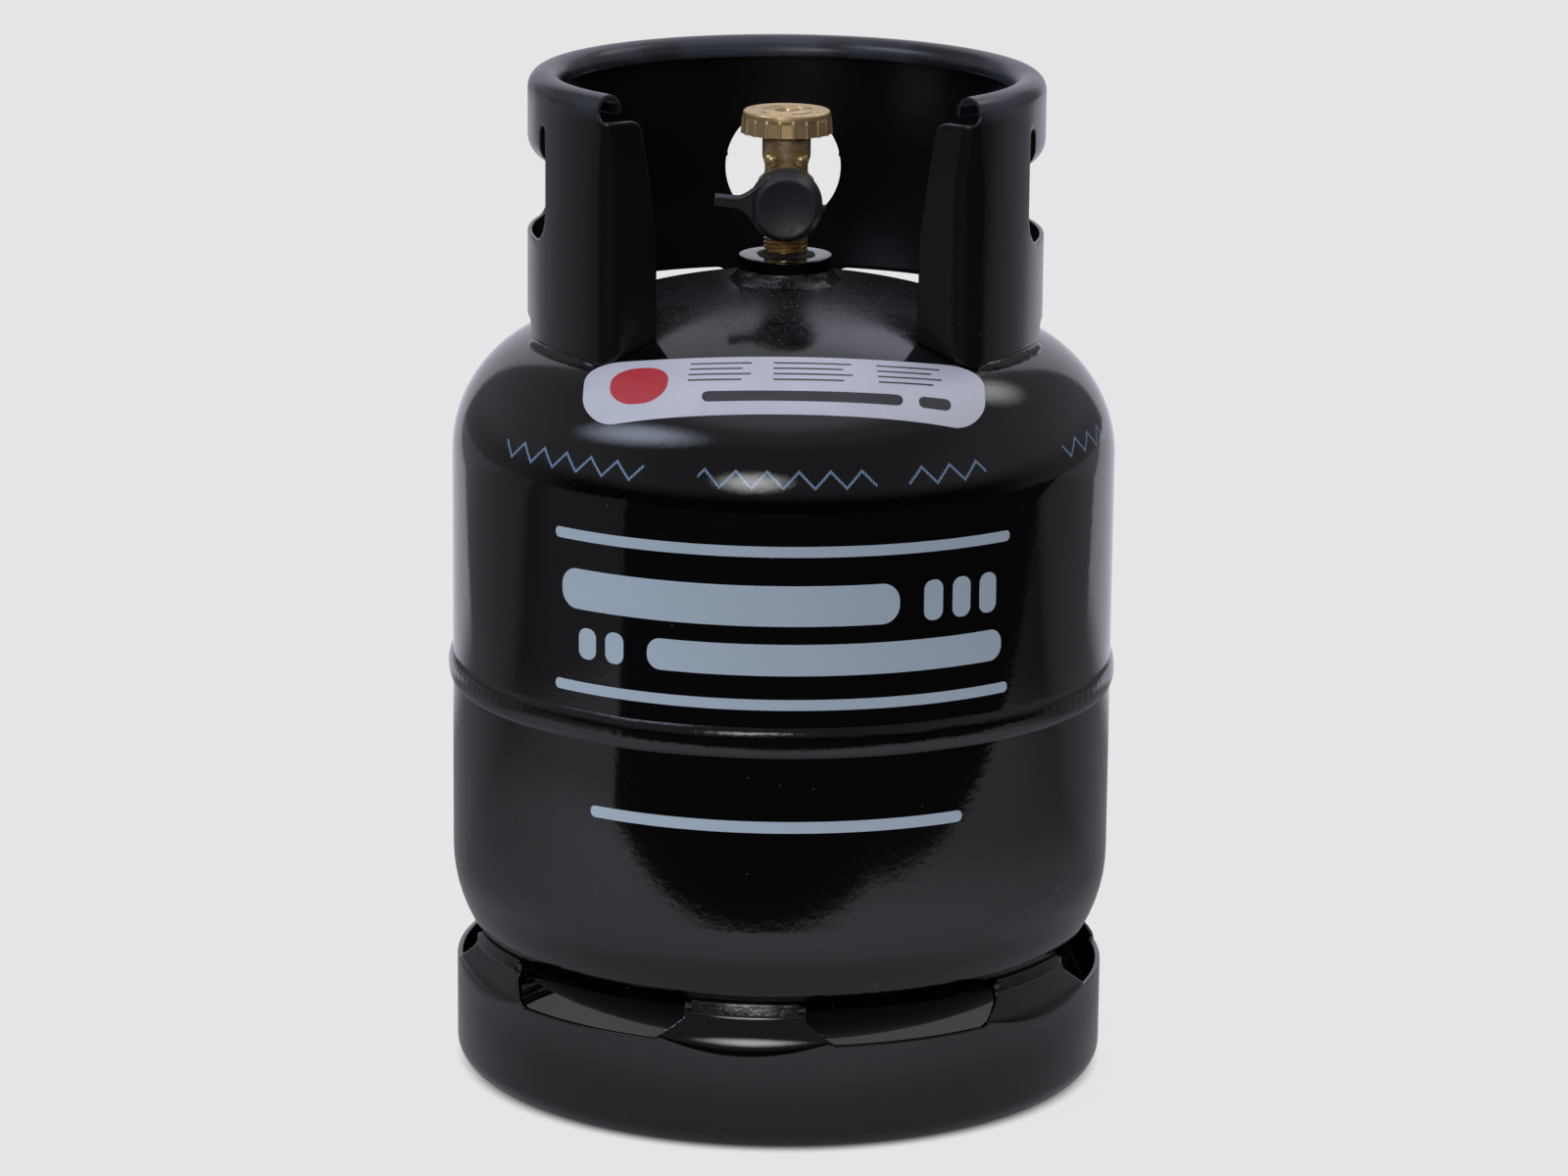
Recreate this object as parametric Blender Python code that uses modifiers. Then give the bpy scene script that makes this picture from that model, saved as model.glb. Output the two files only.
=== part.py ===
"""Steel propane bottle with a rolled collar, a tabbed foot ring and a brass valve.

The bottle stands on the XY plane with its axis on Z. The valve outlet and the
opening of the collar face -Y. All sizes are in metres.
"""

import math

import bmesh
import bpy
from mathutils import Matrix, Vector

# Clearances and mesh fineness
GAP = 0.0003
RUNNING_GAP = 0.0003
CUT_EXTRA = 0.002
MERGE = 0.00001
RING_STEPS = 48
SMALL_STEPS = 24
ARC_STEPS = 3

# Pressure vessel
BODY_RADIUS = 0.150
SHELL_WALL = 0.0020
CROWN_RADIUS = 0.271
UPPER_KNUCKLE = 0.058
LOWER_KNUCKLE = 0.066
STRAIGHT_LENGTH = 0.184
GROUND_CLEARANCE = 0.0175
SEAM_RISE = 0.0855
SEAM_OVERLAP = 0.012
SEAM_ROOT = 0.0015
JOGGLE_RUN = 0.004
SEAM_BEAD_WIDTH = 0.0136
SEAM_BEAD_HEIGHT = 0.0019

# Neck boss
BOSS_RISE = 0.0102
BOSS_RADIUS = 0.02145
BOSS_SPIGOT_RADIUS = 0.017
BOSS_TAIL = 0.004
BOSS_WELD_DROP = 0.0035
BOSS_WELD_LEG = 0.007

# Collar
COLLAR_RADIUS = 0.116
COLLAR_SHEET = 0.0022
COLLAR_RISE = 0.0938
ROLL_RADIUS = 0.0075
ROLL_LIP = 0.002
OPENING_HALF_ANGLE = math.radians(45.5)
BEND_RADIUS = 0.007
BEND_ANGLE = math.radians(78.0)
WING_WIDTH = 0.0205
WING_TOP_WIDTH = 0.0125
WING_TOP_DROP = 0.0114
WING_SLANT = 0.052
WING_CORNER = 0.004
HAND_HOLE_DROP = 0.0195
HAND_HOLE_HEIGHT = 0.0525
HAND_HOLE_WIDTH = 0.089
HAND_HOLE_CORNER = 0.014
NOTCH_WIDTH = 0.006
NOTCH_CORNER = 0.0028
FLAP_DROP = 0.0065
FLAP_RADIUS = 0.010
FLAP_TURN = math.radians(75.0)
FLAP_ROOT = 0.003
FLAP_INSET = 0.0001
REAR_HOLE_DROP = 0.0624
REAR_HOLE_RADIUS = 0.0275
REAR_EDGE_LIFT = 0.0095
REAR_EDGE_CORNER = 0.005
FRONT_FOOT_END = math.radians(79.0)
REAR_FOOT_HALF = math.radians(13.0)
COLLAR_WELD_LEG = 0.0028
COLLAR_STEPS = 22

# Foot ring
FOOT_INSET = 0.0017
FOOT_SHEET = 0.0025
FOOT_CURL = 0.010
FOOT_FLAT = 0.004
FOOT_WALL_HEIGHT = 0.0485
FOOT_STEPS = 60
TAB_COUNT = 6
TAB_TURN = math.radians(-6.0)
TAB_BASE_ANGLE = math.radians(29.8)
TAB_LIP_ANGLE = math.radians(21.5)
TAB_RISE = 0.010
TAB_BEND = 0.004
LIP_HEIGHT = 0.006
TAB_GAP_CORNER = 0.0055
FOOT_WELD_HEIGHT = 0.002

# Valve body, heights above the top of the neck boss
STEM_RADIUS = 0.0099
STEM_EXPOSED = 0.0092
STEM_LENGTH = 0.028
STEM_TAPER = 0.06
VALVE_SHOULDER = 0.002
BLOCK_RADIUS = 0.0125
RELIEF_RISE = 0.0076
SEAT_RISE = 0.0044
OUTLET_RISE = 0.0056
GAS_BORE = 0.003
CHAMBER_RADIUS = 0.0062
NECK_RADIUS = 0.0088
CUP_RADIUS = 0.0109
CUP_BORE = 0.0084

# Spindles, bonnet and handwheel
LIFT = 0.003
DISC_RADIUS = 0.0046
DISC_THICKNESS = 0.0026
NOSE_RADIUS = 0.0034
NOSE_LENGTH = 0.0042
BARREL_LENGTH = 0.008
TONGUE_THICKNESS = 0.0024
TONGUE_WIDTH = 0.006
TONGUE_LENGTH = 0.0068
FLANGE_RADIUS = 0.005
FLANGE_THICKNESS = 0.0022
SPINDLE_RADIUS = 0.003
SQUARE_SIDE = 0.0041
BONNET_LENGTH = 0.012
BONNET_PROUD = 0.001
O_RING_GROOVE = 0.0022
BONNET_RING_DEPTH = 0.0018
SPINDLE_RING_DEPTH = 0.0022
PIN_GROOVE = 0.0036
PIN_SEAT = 0.0027
PIN_SHANK = 0.0015
PIN_HEAD_RADIUS = 0.0032
PIN_HEAD_HEIGHT = 0.0026
PIN_ANGLE = math.radians(36.3)
WHEEL_LIFT = 0.0008
WHEEL_RADIUS = 0.0200
WHEEL_TOP_RADIUS = 0.0194
WHEEL_HEIGHT = 0.0102
WHEEL_EDGE = 0.0016
WHEEL_HUB_RADIUS = 0.0072
WHEEL_RIM = 0.0028
WHEEL_TOP_SKIN = 0.0028
WHEEL_RECESS_RADIUS = 0.0058
WHEEL_RECESS_DEPTH = 0.0028
WHEEL_RIBS = 20
RIB_PROUD = 0.0007
RIB_WIDTH = 0.0013
SCREW_HEAD_RADIUS = 0.0036
SCREW_HEAD_HEIGHT = 0.002
SCREW_SHANK = 0.0012
SCREW_LENGTH = 0.006

# Outlet and its cap, lengths measured from the valve axis
OUTLET_RADIUS = 0.0109
OUTLET_LENGTH = 0.031
OUTLET_BORE = 0.0032
SEAL_RADIUS = 0.0072
SEAL_BORE = 0.0042
SEAL_THICKNESS = 0.0026
CAP_WASHER_THICKNESS = 0.002
CAP_RADIUS = 0.01625
CAP_FACE_RADIUS = 0.0135
CAP_SKIRT_LENGTH = 0.0065
CAP_TAPER_LENGTH = 0.0085
CAP_FLOOR = 0.003
CAP_DISH_DEPTH = 0.0008
CAP_DISH_RADIUS = 0.011
CAP_EDGE = 0.0009
CAP_WING_REACH = 0.032
CAP_WING_ROOT = 0.011
CAP_WING_TIP = 0.0047
CAP_WING_DEPTH = 0.008
CAP_WING_TURN = math.radians(5.0)
CAP_NUB = 0.0016

# Relief valve, lengths measured from the valve axis
RELIEF_BOSS_RADIUS = 0.0095
RELIEF_CHAMBER = 0.0068
RELIEF_PORT = 0.0022
RELIEF_SEAT = 0.009
RELIEF_SEAL_RADIUS = 0.005
RELIEF_SEAL_THICKNESS = 0.002
RELIEF_DISC_THICKNESS = 0.003
RELIEF_STEM_RADIUS = 0.0022
RELIEF_STEM_LENGTH = 0.006
RELIEF_CAP_THICKNESS = 0.003
SPRING_LENGTH = 0.009
SPRING_RADIUS = 0.0044
SPRING_WIRE = 0.001
SPRING_TURNS = 5
SPRING_TURN_POINTS = 10

# Colour, roughness and metallic value of each finish
FINISHES = {
    "black_paint": ((0.012, 0.012, 0.014, 1.0), 0.28, 0.0),
    "cast_brass": ((0.50, 0.36, 0.17, 1.0), 0.42, 1.0),
    "gold_wheel": ((0.62, 0.43, 0.18, 1.0), 0.40, 0.8),
    "turned_brass": ((0.70, 0.50, 0.20, 1.0), 0.25, 1.0),
    "black_plastic": ((0.02, 0.02, 0.024, 1.0), 0.50, 0.0),
    "black_rubber": ((0.015, 0.015, 0.015, 1.0), 0.80, 0.0),
    "spring_steel": ((0.55, 0.56, 0.58, 1.0), 0.30, 1.0),
}

# Places worked out from the sizes


def head_centres(knuckle):
    """Radius of the knuckle centre, and drop of the crown centre below the tangent line."""
    knuckle_radius = BODY_RADIUS - knuckle
    crown_drop = math.sqrt((CROWN_RADIUS - knuckle) ** 2 - knuckle_radius ** 2)
    return knuckle_radius, crown_drop


def head_height(radius, knuckle, offset=0.0):
    """Height of a dished head above its tangent line, for a skin moved out by offset."""
    centre, drop = head_centres(knuckle)
    joint = centre + (knuckle + offset) * math.cos(math.atan2(drop, centre))
    if radius > joint:
        return math.sqrt(max((knuckle + offset) ** 2 - (radius - centre) ** 2, 0.0))
    return math.sqrt((CROWN_RADIUS + offset) ** 2 - radius ** 2) - drop


def head_radius(height, knuckle):
    """Outer radius of a dished head at a height above its tangent line."""
    centre, drop = head_centres(knuckle)
    if height <= knuckle * math.sin(math.atan2(drop, centre)):
        return centre + math.sqrt(knuckle ** 2 - height ** 2)
    return math.sqrt(CROWN_RADIUS ** 2 - (height + drop) ** 2)


LOWER_TANGENT = GROUND_CLEARANCE + head_height(0.0, LOWER_KNUCKLE)
UPPER_TANGENT = LOWER_TANGENT + STRAIGHT_LENGTH
CREST = UPPER_TANGENT + head_height(0.0, UPPER_KNUCKLE)
SEAM_Z = LOWER_TANGENT + SEAM_RISE
BOSS_TOP = CREST + BOSS_RISE
COLLAR_TOP = CREST + COLLAR_RISE
FOOT_RADIUS = BODY_RADIUS - FOOT_INSET
LIP_BOTTOM = FOOT_WALL_HEIGHT + TAB_RISE
LIP_TOP = LIP_BOTTOM + LIP_HEIGHT
LIP_RADIUS = head_radius(LOWER_TANGENT - LIP_TOP, LOWER_KNUCKLE) + GAP + FOOT_SHEET

RELIEF_HEIGHT = STEM_EXPOSED + RELIEF_RISE
SEAT_HEIGHT = RELIEF_HEIGHT + SEAT_RISE
OUTLET_HEIGHT = SEAT_HEIGHT + OUTLET_RISE
DISC_TOP = SEAT_HEIGHT + GAP + DISC_THICKNESS
NOSE_BOTTOM = DISC_TOP + GAP
BARREL_BOTTOM = NOSE_BOTTOM + NOSE_LENGTH
BARREL_TOP = BARREL_BOTTOM + BARREL_LENGTH
FLANGE_BOTTOM = BARREL_TOP + LIFT + 2 * GAP
FLANGE_TOP = FLANGE_BOTTOM + FLANGE_THICKNESS
TONGUE_BOTTOM = FLANGE_BOTTOM - TONGUE_LENGTH
SLOT_BOTTOM = TONGUE_BOTTOM - LIFT - GAP
BONNET_BOTTOM = FLANGE_TOP + GAP
BONNET_TOP = BONNET_BOTTOM + BONNET_LENGTH
CUP_FLOOR = BONNET_BOTTOM - GAP
CUP_TOP = BONNET_TOP - BONNET_PROUD
PIN_HEIGHT = BONNET_BOTTOM + PIN_SEAT
WHEEL_BOTTOM = BONNET_TOP + WHEEL_LIFT
HUB_TOP = WHEEL_HEIGHT - WHEEL_RECESS_DEPTH
BARREL_RADIUS = CHAMBER_RADIUS - RUNNING_GAP
BONNET_RADIUS = CUP_BORE - GAP
BONNET_BORE = SPINDLE_RADIUS + RUNNING_GAP
WASHER_SEAT = OUTLET_LENGTH + GAP
CAP_BASE = WASHER_SEAT + CAP_WASHER_THICKNESS + GAP
CAP_FRONT = CAP_BASE + CAP_FLOOR
CAP_REAR = CAP_FRONT - CAP_TAPER_LENGTH - CAP_SKIRT_LENGTH
RELIEF_DISC = RELIEF_SEAT + GAP + RELIEF_SEAL_THICKNESS + GAP
SPRING_SEAT = RELIEF_DISC + RELIEF_DISC_THICKNESS + GAP
RELIEF_CAP_SEAT = SPRING_SEAT + SPRING_LENGTH + GAP
RELIEF_END = RELIEF_CAP_SEAT + RELIEF_CAP_THICKNESS


def dome_z(radius, offset=0.0):
    """Height of the upper head's outer face above the ground."""
    return UPPER_TANGENT + head_height(radius, UPPER_KNUCKLE, offset)


def stem_radius(height):
    """Radius of the valve's tapered stem at a height above the boss."""
    return STEM_RADIUS - (STEM_EXPOSED - height) * STEM_TAPER


# Scene, collections and finishes


def clear_scene():
    for item in list(bpy.data.objects):
        bpy.data.objects.remove(item, do_unlink=True)


def new_collection(name):
    collection = bpy.data.collections.new(name)
    bpy.context.scene.collection.children.link(collection)
    return collection


clear_scene()
PARTS = new_collection("propane_tank")
CUTTERS = new_collection("propane_tank_cutters")


def new_empty(name, location, turn=0.0):
    """Empty whose local Z is tipped from world Z by a turn about X."""
    empty = bpy.data.objects.new(name, None)
    empty.location = location
    empty.rotation_euler = (turn, 0.0, 0.0)
    PARTS.objects.link(empty)
    return empty


def add_object(name, mesh, parent=None, location=(0.0, 0.0, 0.0), rotation=(0.0, 0.0, 0.0)):
    item = bpy.data.objects.new(name, mesh)
    item.parent = parent
    item.location = location
    item.rotation_euler = rotation
    PARTS.objects.link(item)
    return item


def finish(item, kind):
    """Give a part its own material with the colour of its finish."""
    colour, roughness, metallic = FINISHES[kind]
    material = bpy.data.materials.new(item.name + "_" + kind)
    material.use_nodes = True
    shader = material.node_tree.nodes["Principled BSDF"]
    shader.inputs["Base Color"].default_value = colour
    shader.inputs["Roughness"].default_value = roughness
    shader.inputs["Metallic"].default_value = metallic
    item.data.materials.append(material)
    return item


def as_cutter(item):
    PARTS.objects.unlink(item)
    CUTTERS.objects.link(item)
    item.hide_render = True
    item.display_type = "WIRE"
    return item


def boolean(item, other, operation, solver="EXACT"):
    modifier = item.modifiers.new(operation.lower(), "BOOLEAN")
    modifier.operation = operation
    modifier.object = as_cutter(other)
    modifier.solver = solver


def mesh_from(bm, name):
    bmesh.ops.recalc_face_normals(bm, faces=bm.faces)
    mesh = bpy.data.meshes.new(name)
    bm.to_mesh(mesh)
    bm.free()
    mesh.shade_smooth()
    mesh.set_sharp_from_angle(angle=math.radians(35.0))
    return mesh


# Profile helpers


def arc(centre, radius, start, end, steps):
    """Points of a circular arc in a radius and height plane."""
    points = []
    for step in range(steps + 1):
        angle = start + (end - start) * step / steps
        points.append((centre[0] + radius * math.cos(angle), centre[1] + radius * math.sin(angle)))
    return points


def rounded(points, radii, steps=ARC_STEPS):
    """Open path through points, with an arc of the given radius at each inner corner."""
    path = [points[0]]
    for before, corner, after, radius in zip(points, points[1:], points[2:], radii):
        here = Vector(corner)
        if not radius:
            path.append(corner)
            continue
        back = (Vector(before) - here).normalized()
        ahead = (Vector(after) - here).normalized()
        half = back.angle(ahead) / 2
        reach = radius / math.tan(half)
        centre = here + (back + ahead).normalized() * (radius / math.sin(half))
        first = here + back * reach - centre
        last = here + ahead * reach - centre
        turn = math.atan2(first.cross(last), first.dot(last))
        for step in range(steps + 1):
            spoke = Matrix.Rotation(turn * step / steps, 2) @ first
            path.append(tuple(centre + spoke))
    path.append(points[-1])
    return path


def head_arc(knuckle, offset, inner_radius, knuckle_steps=5, crown_steps=4):
    """Points of a dished head from inner_radius out to its tangent line, heights above it."""
    centre, drop = head_centres(knuckle)
    joint_angle = math.atan2(drop, centre)
    crown = CROWN_RADIUS + offset
    rise = arc((0.0, -drop), crown, math.acos(inner_radius / crown), joint_angle, crown_steps)
    bend = arc((centre, 0.0), knuckle + offset, joint_angle, 0.0, knuckle_steps)
    return rise + bend[1:]


def turned(name, profile, closed=True, steps=SMALL_STEPS, **place):
    """Solid turned about local Z from a profile that runs down its outer side."""
    mesh = bpy.data.meshes.new(name)
    edges = [(index, index + 1) for index in range(len(profile) - 1)]
    if closed:
        edges.append((len(profile) - 1, 0))
    mesh.from_pydata([(radius, 0.0, height) for radius, height in profile], edges, [])
    item = add_object(name, mesh, **place)
    screw = item.modifiers.new("turn", "SCREW")
    screw.steps = steps
    screw.render_steps = steps
    screw.use_merge_vertices = True
    screw.merge_threshold = MERGE
    screw.use_smooth_shade = True
    return item


def swept(name, section, start, end, steps, **place):
    """Solid made by turning a closed section about Z between two azimuths from the front."""
    bm = bmesh.new()
    corners = [bm.verts.new((radius, 0.0, height)) for radius, height in section]
    face = bm.faces.new(corners)
    turn = Matrix.Rotation(start - math.pi / 2, 3, "Z")
    bmesh.ops.rotate(bm, verts=bm.verts, cent=(0, 0, 0), matrix=turn)
    bmesh.ops.spin(bm, geom=[face], cent=(0, 0, 0), axis=(0, 0, 1), angle=end - start, steps=steps)
    return add_object(name, mesh_from(bm, name), **place)


def lofted(name, rings, **place):
    """Closed solid through a stack of rings that have the same number of points."""
    bm = bmesh.new()
    levels = [[bm.verts.new(point) for point in ring] for ring in rings]
    for lower, upper in zip(levels, levels[1:]):
        for index in range(len(lower)):
            after = (index + 1) % len(lower)
            bm.faces.new((lower[index], lower[after], upper[after], upper[index]))
    bm.faces.new(levels[0])
    bm.faces.new(levels[-1])
    return add_object(name, mesh_from(bm, name), **place)


def prism(name, outline, low, high, **place):
    """Outline in local XY, pulled along local Z from low to high."""
    return lofted(name, [[(x, y, z) for x, y in outline] for z in (low, high)], **place)


def block(name, size, centre, **place):
    bm = bmesh.new()
    bmesh.ops.create_cube(bm, size=1.0)
    bmesh.ops.scale(bm, vec=size, verts=bm.verts)
    bmesh.ops.translate(bm, vec=centre, verts=bm.verts)
    return add_object(name, mesh_from(bm, name), **place)


def rod(name, radius, low, high, steps=SMALL_STEPS, **place):
    """Plain round bar along local Z."""
    profile = [(0.0, high), (radius, high), (radius, low), (0.0, low)]
    return turned(name, profile, closed=False, steps=steps, **place)


def torus_ring(name, radius, tube, height, **place):
    circle = arc((radius, height), tube, math.pi / 2, -1.5 * math.pi, 6)[:-1]
    return turned(name, circle, **place)


# Pressure vessel


def build_upper_shell():
    hole = BOSS_SPIGOT_RADIUS + GAP
    outer = [(r, UPPER_TANGENT + h) for r, h in head_arc(UPPER_KNUCKLE, 0.0, hole)]
    inner = [(r, UPPER_TANGENT + h) for r, h in head_arc(UPPER_KNUCKLE, -SHELL_WALL, hole, 3, 3)]
    edge = [(BODY_RADIUS, SEAM_Z), (BODY_RADIUS - SHELL_WALL, SEAM_Z)]
    shell = turned("upper_shell", outer + edge + inner[::-1], steps=RING_STEPS)
    finish(shell, "black_paint")


def build_lower_shell():
    sleeve = BODY_RADIUS - SHELL_WALL - GAP
    top = SEAM_Z + SEAM_OVERLAP
    step_top = SEAM_Z - SEAM_ROOT
    step_bottom = step_top - JOGGLE_RUN
    outer = [(sleeve, top), (sleeve, step_top), (BODY_RADIUS, step_bottom)]
    inner = [(r - SHELL_WALL, z) for r, z in outer]
    head_out = head_arc(LOWER_KNUCKLE, 0.0, 0.0)[::-1]
    head_in = head_arc(LOWER_KNUCKLE, -SHELL_WALL, 0.0, 3, 3)[::-1]
    outer += [(r, LOWER_TANGENT - h) for r, h in head_out]
    inner += [(r, LOWER_TANGENT - h) for r, h in head_in]
    shell = turned("lower_shell", inner[::-1] + outer, closed=False, steps=RING_STEPS)
    finish(shell, "black_paint")


def build_seam_weld(steps=4):
    foot = BODY_RADIUS + GAP
    bead = []
    for step in range(steps + 1):
        share = 2 * step / steps - 1
        radius = foot + (SEAM_BEAD_HEIGHT - GAP) * (1 - share ** 2)
        bead.append((radius, SEAM_Z - share * SEAM_BEAD_WIDTH / 2))
    weld = turned("seam_weld", bead, steps=RING_STEPS)
    finish(weld, "black_paint")


def build_neck_boss():
    bottom = CREST - SHELL_WALL - BOSS_TAIL
    ledge = dome_z(BOSS_RADIUS) + BOSS_RISE / 3
    profile = [
        (stem_radius(0.0) + GAP, BOSS_TOP),
        (BOSS_RADIUS, BOSS_TOP),
        (BOSS_RADIUS, ledge),
        (BOSS_SPIGOT_RADIUS, dome_z(BOSS_SPIGOT_RADIUS) + GAP),
        (BOSS_SPIGOT_RADIUS, bottom),
        (stem_radius(bottom - BOSS_TOP) + GAP, bottom),
    ]
    finish(turned("neck_boss", profile), "black_paint")


def build_boss_weld():
    root = BOSS_RADIUS + GAP
    toe = root + BOSS_WELD_LEG
    top = BOSS_TOP - BOSS_WELD_DROP
    foot = dome_z(toe, GAP)
    belly = (root + 0.38 * BOSS_WELD_LEG, foot + 0.42 * (top - foot))
    profile = [(root, top), belly, (toe, foot + GAP), (toe, foot), (root, dome_z(root, GAP))]
    finish(turned("boss_weld", profile), "black_paint")


# Collar


def collar_sheet():
    """Outer skin of the right half: rolled wall, bend and wing, open at the rear plane."""
    low = dome_z(COLLAR_RADIUS + BEND_RADIUS) - BEND_RADIUS
    wing_top = COLLAR_TOP - WING_TOP_DROP
    wing_knee = wing_top - WING_SLANT
    roll_base = COLLAR_TOP - ROLL_RADIUS
    roll = arc((COLLAR_RADIUS - ROLL_RADIUS, roll_base), ROLL_RADIUS, 0.0, math.pi, 6)
    wall = [(COLLAR_RADIUS, low), (COLLAR_RADIUS, wing_knee), (COLLAR_RADIUS, wing_top)]
    lip = [(COLLAR_RADIUS - 2 * ROLL_RADIUS, roll_base - ROLL_LIP)]
    bm = bmesh.new()
    out = Vector((math.sin(OPENING_HALF_ANGLE), -math.cos(OPENING_HALF_ANGLE), 0.0))
    points = [bm.verts.new(out * radius + Vector((0, 0, z))) for radius, z in wall + roll + lip]
    edges = [bm.edges.new(pair) for pair in zip(points, points[1:])]
    end_edges = edges[:2]
    bmesh.ops.spin(
        bm, geom=points + edges, cent=(0, 0, 0), axis=(0, 0, 1),
        angle=math.pi - OPENING_HALF_ANGLE, steps=COLLAR_STEPS)
    bend_axis = out * (COLLAR_RADIUS - BEND_RADIUS)
    bent = bmesh.ops.spin(
        bm, geom=points[:3] + end_edges, cent=bend_axis, axis=(0, 0, 1),
        angle=-BEND_ANGLE, steps=5)
    bent_edges = [part for part in bent["geom_last"] if isinstance(part, bmesh.types.BMEdge)]
    pulled = bmesh.ops.extrude_edge_only(bm, edges=bent_edges)
    tips = [part for part in pulled["geom"] if isinstance(part, bmesh.types.BMVert)]
    along = Matrix.Rotation(-BEND_ANGLE, 3, "Z") @ Vector((out.y, -out.x, 0.0))
    for tip in tips:
        width = WING_TOP_WIDTH if tip.co.z > wing_top - MERGE else WING_WIDTH
        tip.co += along * width
    corner = max(tips, key=lambda tip: tip.co.z)
    bmesh.ops.bevel(
        bm, geom=[corner], offset=WING_CORNER, offset_type="OFFSET", affect="VERTICES",
        segments=3, profile=0.5, material=-1)
    bm.normal_update()
    probe = max(bm.faces, key=lambda face: face.calc_center_median().y)
    if probe.normal.dot(Vector((0, 1, 0))) < 0:
        bmesh.ops.reverse_faces(bm, faces=bm.faces)
    mesh = bpy.data.meshes.new("collar")
    bm.to_mesh(mesh)
    bm.free()
    mesh.shade_smooth()
    return mesh


def hand_hole_cutter():
    """Through cut across both sides: wide grip hole with notches up beside the flap."""
    top = COLLAR_TOP - HAND_HOLE_DROP
    half = HAND_HOLE_WIDTH / 2
    bottom = top - HAND_HOLE_HEIGHT
    corners = [(-half, (top + bottom) / 2), (-half, bottom), (half, bottom),
               (half, top), (-half, top), (-half, (top + bottom) / 2)]
    radii = [HAND_HOLE_CORNER, HAND_HOLE_CORNER, NOTCH_CORNER, NOTCH_CORNER]
    outline = rounded(corners, radii)[:-1]
    reach = COLLAR_RADIUS + CUT_EXTRA
    standing = (math.pi / 2, 0.0, math.pi / 2)
    return prism("hand_hole_cutter", outline, -reach, reach, rotation=standing)


def flap(name, side):
    """Grip flap under one hand hole's top edge: straight at first, then rolled inwards."""
    top = COLLAR_TOP - HAND_HOLE_DROP
    outer = COLLAR_RADIUS - FLAP_INSET
    inner = COLLAR_RADIUS - COLLAR_SHEET + FLAP_INSET
    centre = (COLLAR_RADIUS - FLAP_RADIUS, top - FLAP_DROP)
    curl_out = arc(centre, outer - centre[0], 0.0, -FLAP_TURN, 4)
    curl_in = arc(centre, inner - centre[0], -FLAP_TURN, 0.0, 4)
    root = [(inner, top + FLAP_ROOT), (outer, top + FLAP_ROOT)]
    half = math.asin((HAND_HOLE_WIDTH / 2 - NOTCH_WIDTH) / COLLAR_RADIUS)
    middle = side * math.pi / 2
    return swept(name, curl_out + curl_in + root, middle - half, middle + half, 8)


def rear_edge_cutter(name, side):
    """Ring sector that lifts the collar's lower edge off the dome between two feet."""
    seat = dome_z(COLLAR_RADIUS)
    inner = COLLAR_RADIUS - COLLAR_SHEET - CUT_EXTRA
    outer = COLLAR_RADIUS + CUT_EXTRA
    low = dome_z(outer) - CUT_EXTRA
    high = seat + REAR_EDGE_LIFT
    section = [(inner, low), (outer, low), (outer, high), (inner, high)]
    start = FRONT_FOOT_END
    end = math.pi - REAR_FOOT_HALF
    if side < 0:
        start, end = -end, -start
    cutter = swept(name, section, start, end, 20)
    bm = bmesh.new()
    bm.from_mesh(cutter.data)
    ends = []
    for edge in bm.edges:
        ring = [vert.co.xy.length for vert in edge.verts]
        crosses = abs(ring[0] - ring[1]) > COLLAR_SHEET
        if crosses and edge.calc_length() > COLLAR_SHEET and edge.verts[0].co.z > seat:
            if any(len(face.verts) == 4 and abs(face.normal.z) < 0.5 for face in edge.link_faces):
                ends.append(edge)
    bmesh.ops.bevel(
        bm, geom=ends, offset=REAR_EDGE_CORNER, affect="EDGES", segments=3, profile=0.5, material=-1)
    bm.to_mesh(cutter.data)
    bm.free()
    return cutter


def build_collar():
    collar = add_object("collar", collar_sheet())
    mirror = collar.modifiers.new("other half", "MIRROR")
    mirror.merge_threshold = MERGE
    sheet = collar.modifiers.new("sheet", "SOLIDIFY")
    sheet.thickness = COLLAR_SHEET
    sheet.offset = -1.0
    sheet.use_even_offset = True
    boolean(collar, hand_hole_cutter(), "DIFFERENCE")
    rear_hole = rod(
        "rear_hole_cutter", REAR_HOLE_RADIUS, -COLLAR_RADIUS - CUT_EXTRA, -COLLAR_RADIUS / 2,
        location=(0, 0, COLLAR_TOP - REAR_HOLE_DROP), rotation=(math.pi / 2, 0, 0))
    boolean(collar, rear_hole, "DIFFERENCE")
    for side in (1, -1):
        boolean(collar, rear_edge_cutter("rear_edge_cutter", side), "DIFFERENCE")
        boolean(collar, flap("flap", side), "UNION")
    head = [(r, UPPER_TANGENT + h) for r, h in head_arc(UPPER_KNUCKLE, GAP, 0.0)]
    base = [(head[-1][0], UPPER_TANGENT - GAP), (0.0, UPPER_TANGENT - GAP)]
    boolean(collar, turned("dome_cutter", head + base, closed=False, steps=RING_STEPS), "DIFFERENCE")
    finish(collar, "black_paint")


def build_collar_welds():
    root = COLLAR_RADIUS + GAP
    toe = root + COLLAR_WELD_LEG
    foot = dome_z(root, GAP)
    top = foot + COLLAR_WELD_LEG
    belly = (root + 0.62 * COLLAR_WELD_LEG, foot + 0.55 * COLLAR_WELD_LEG)
    section = [(root, foot), (toe, dome_z(toe, GAP)), belly, (root, top)]
    front = (OPENING_HALF_ANGLE, FRONT_FOOT_END)
    spans = {
        "collar_weld_right": front,
        "collar_weld_left": (-front[1], -front[0]),
        "collar_weld_rear": (math.pi - REAR_FOOT_HALF, math.pi + REAR_FOOT_HALF),
    }
    for name, (start, end) in spans.items():
        finish(swept(name, section, start, end, 10), "black_paint")


# Foot ring


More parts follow.
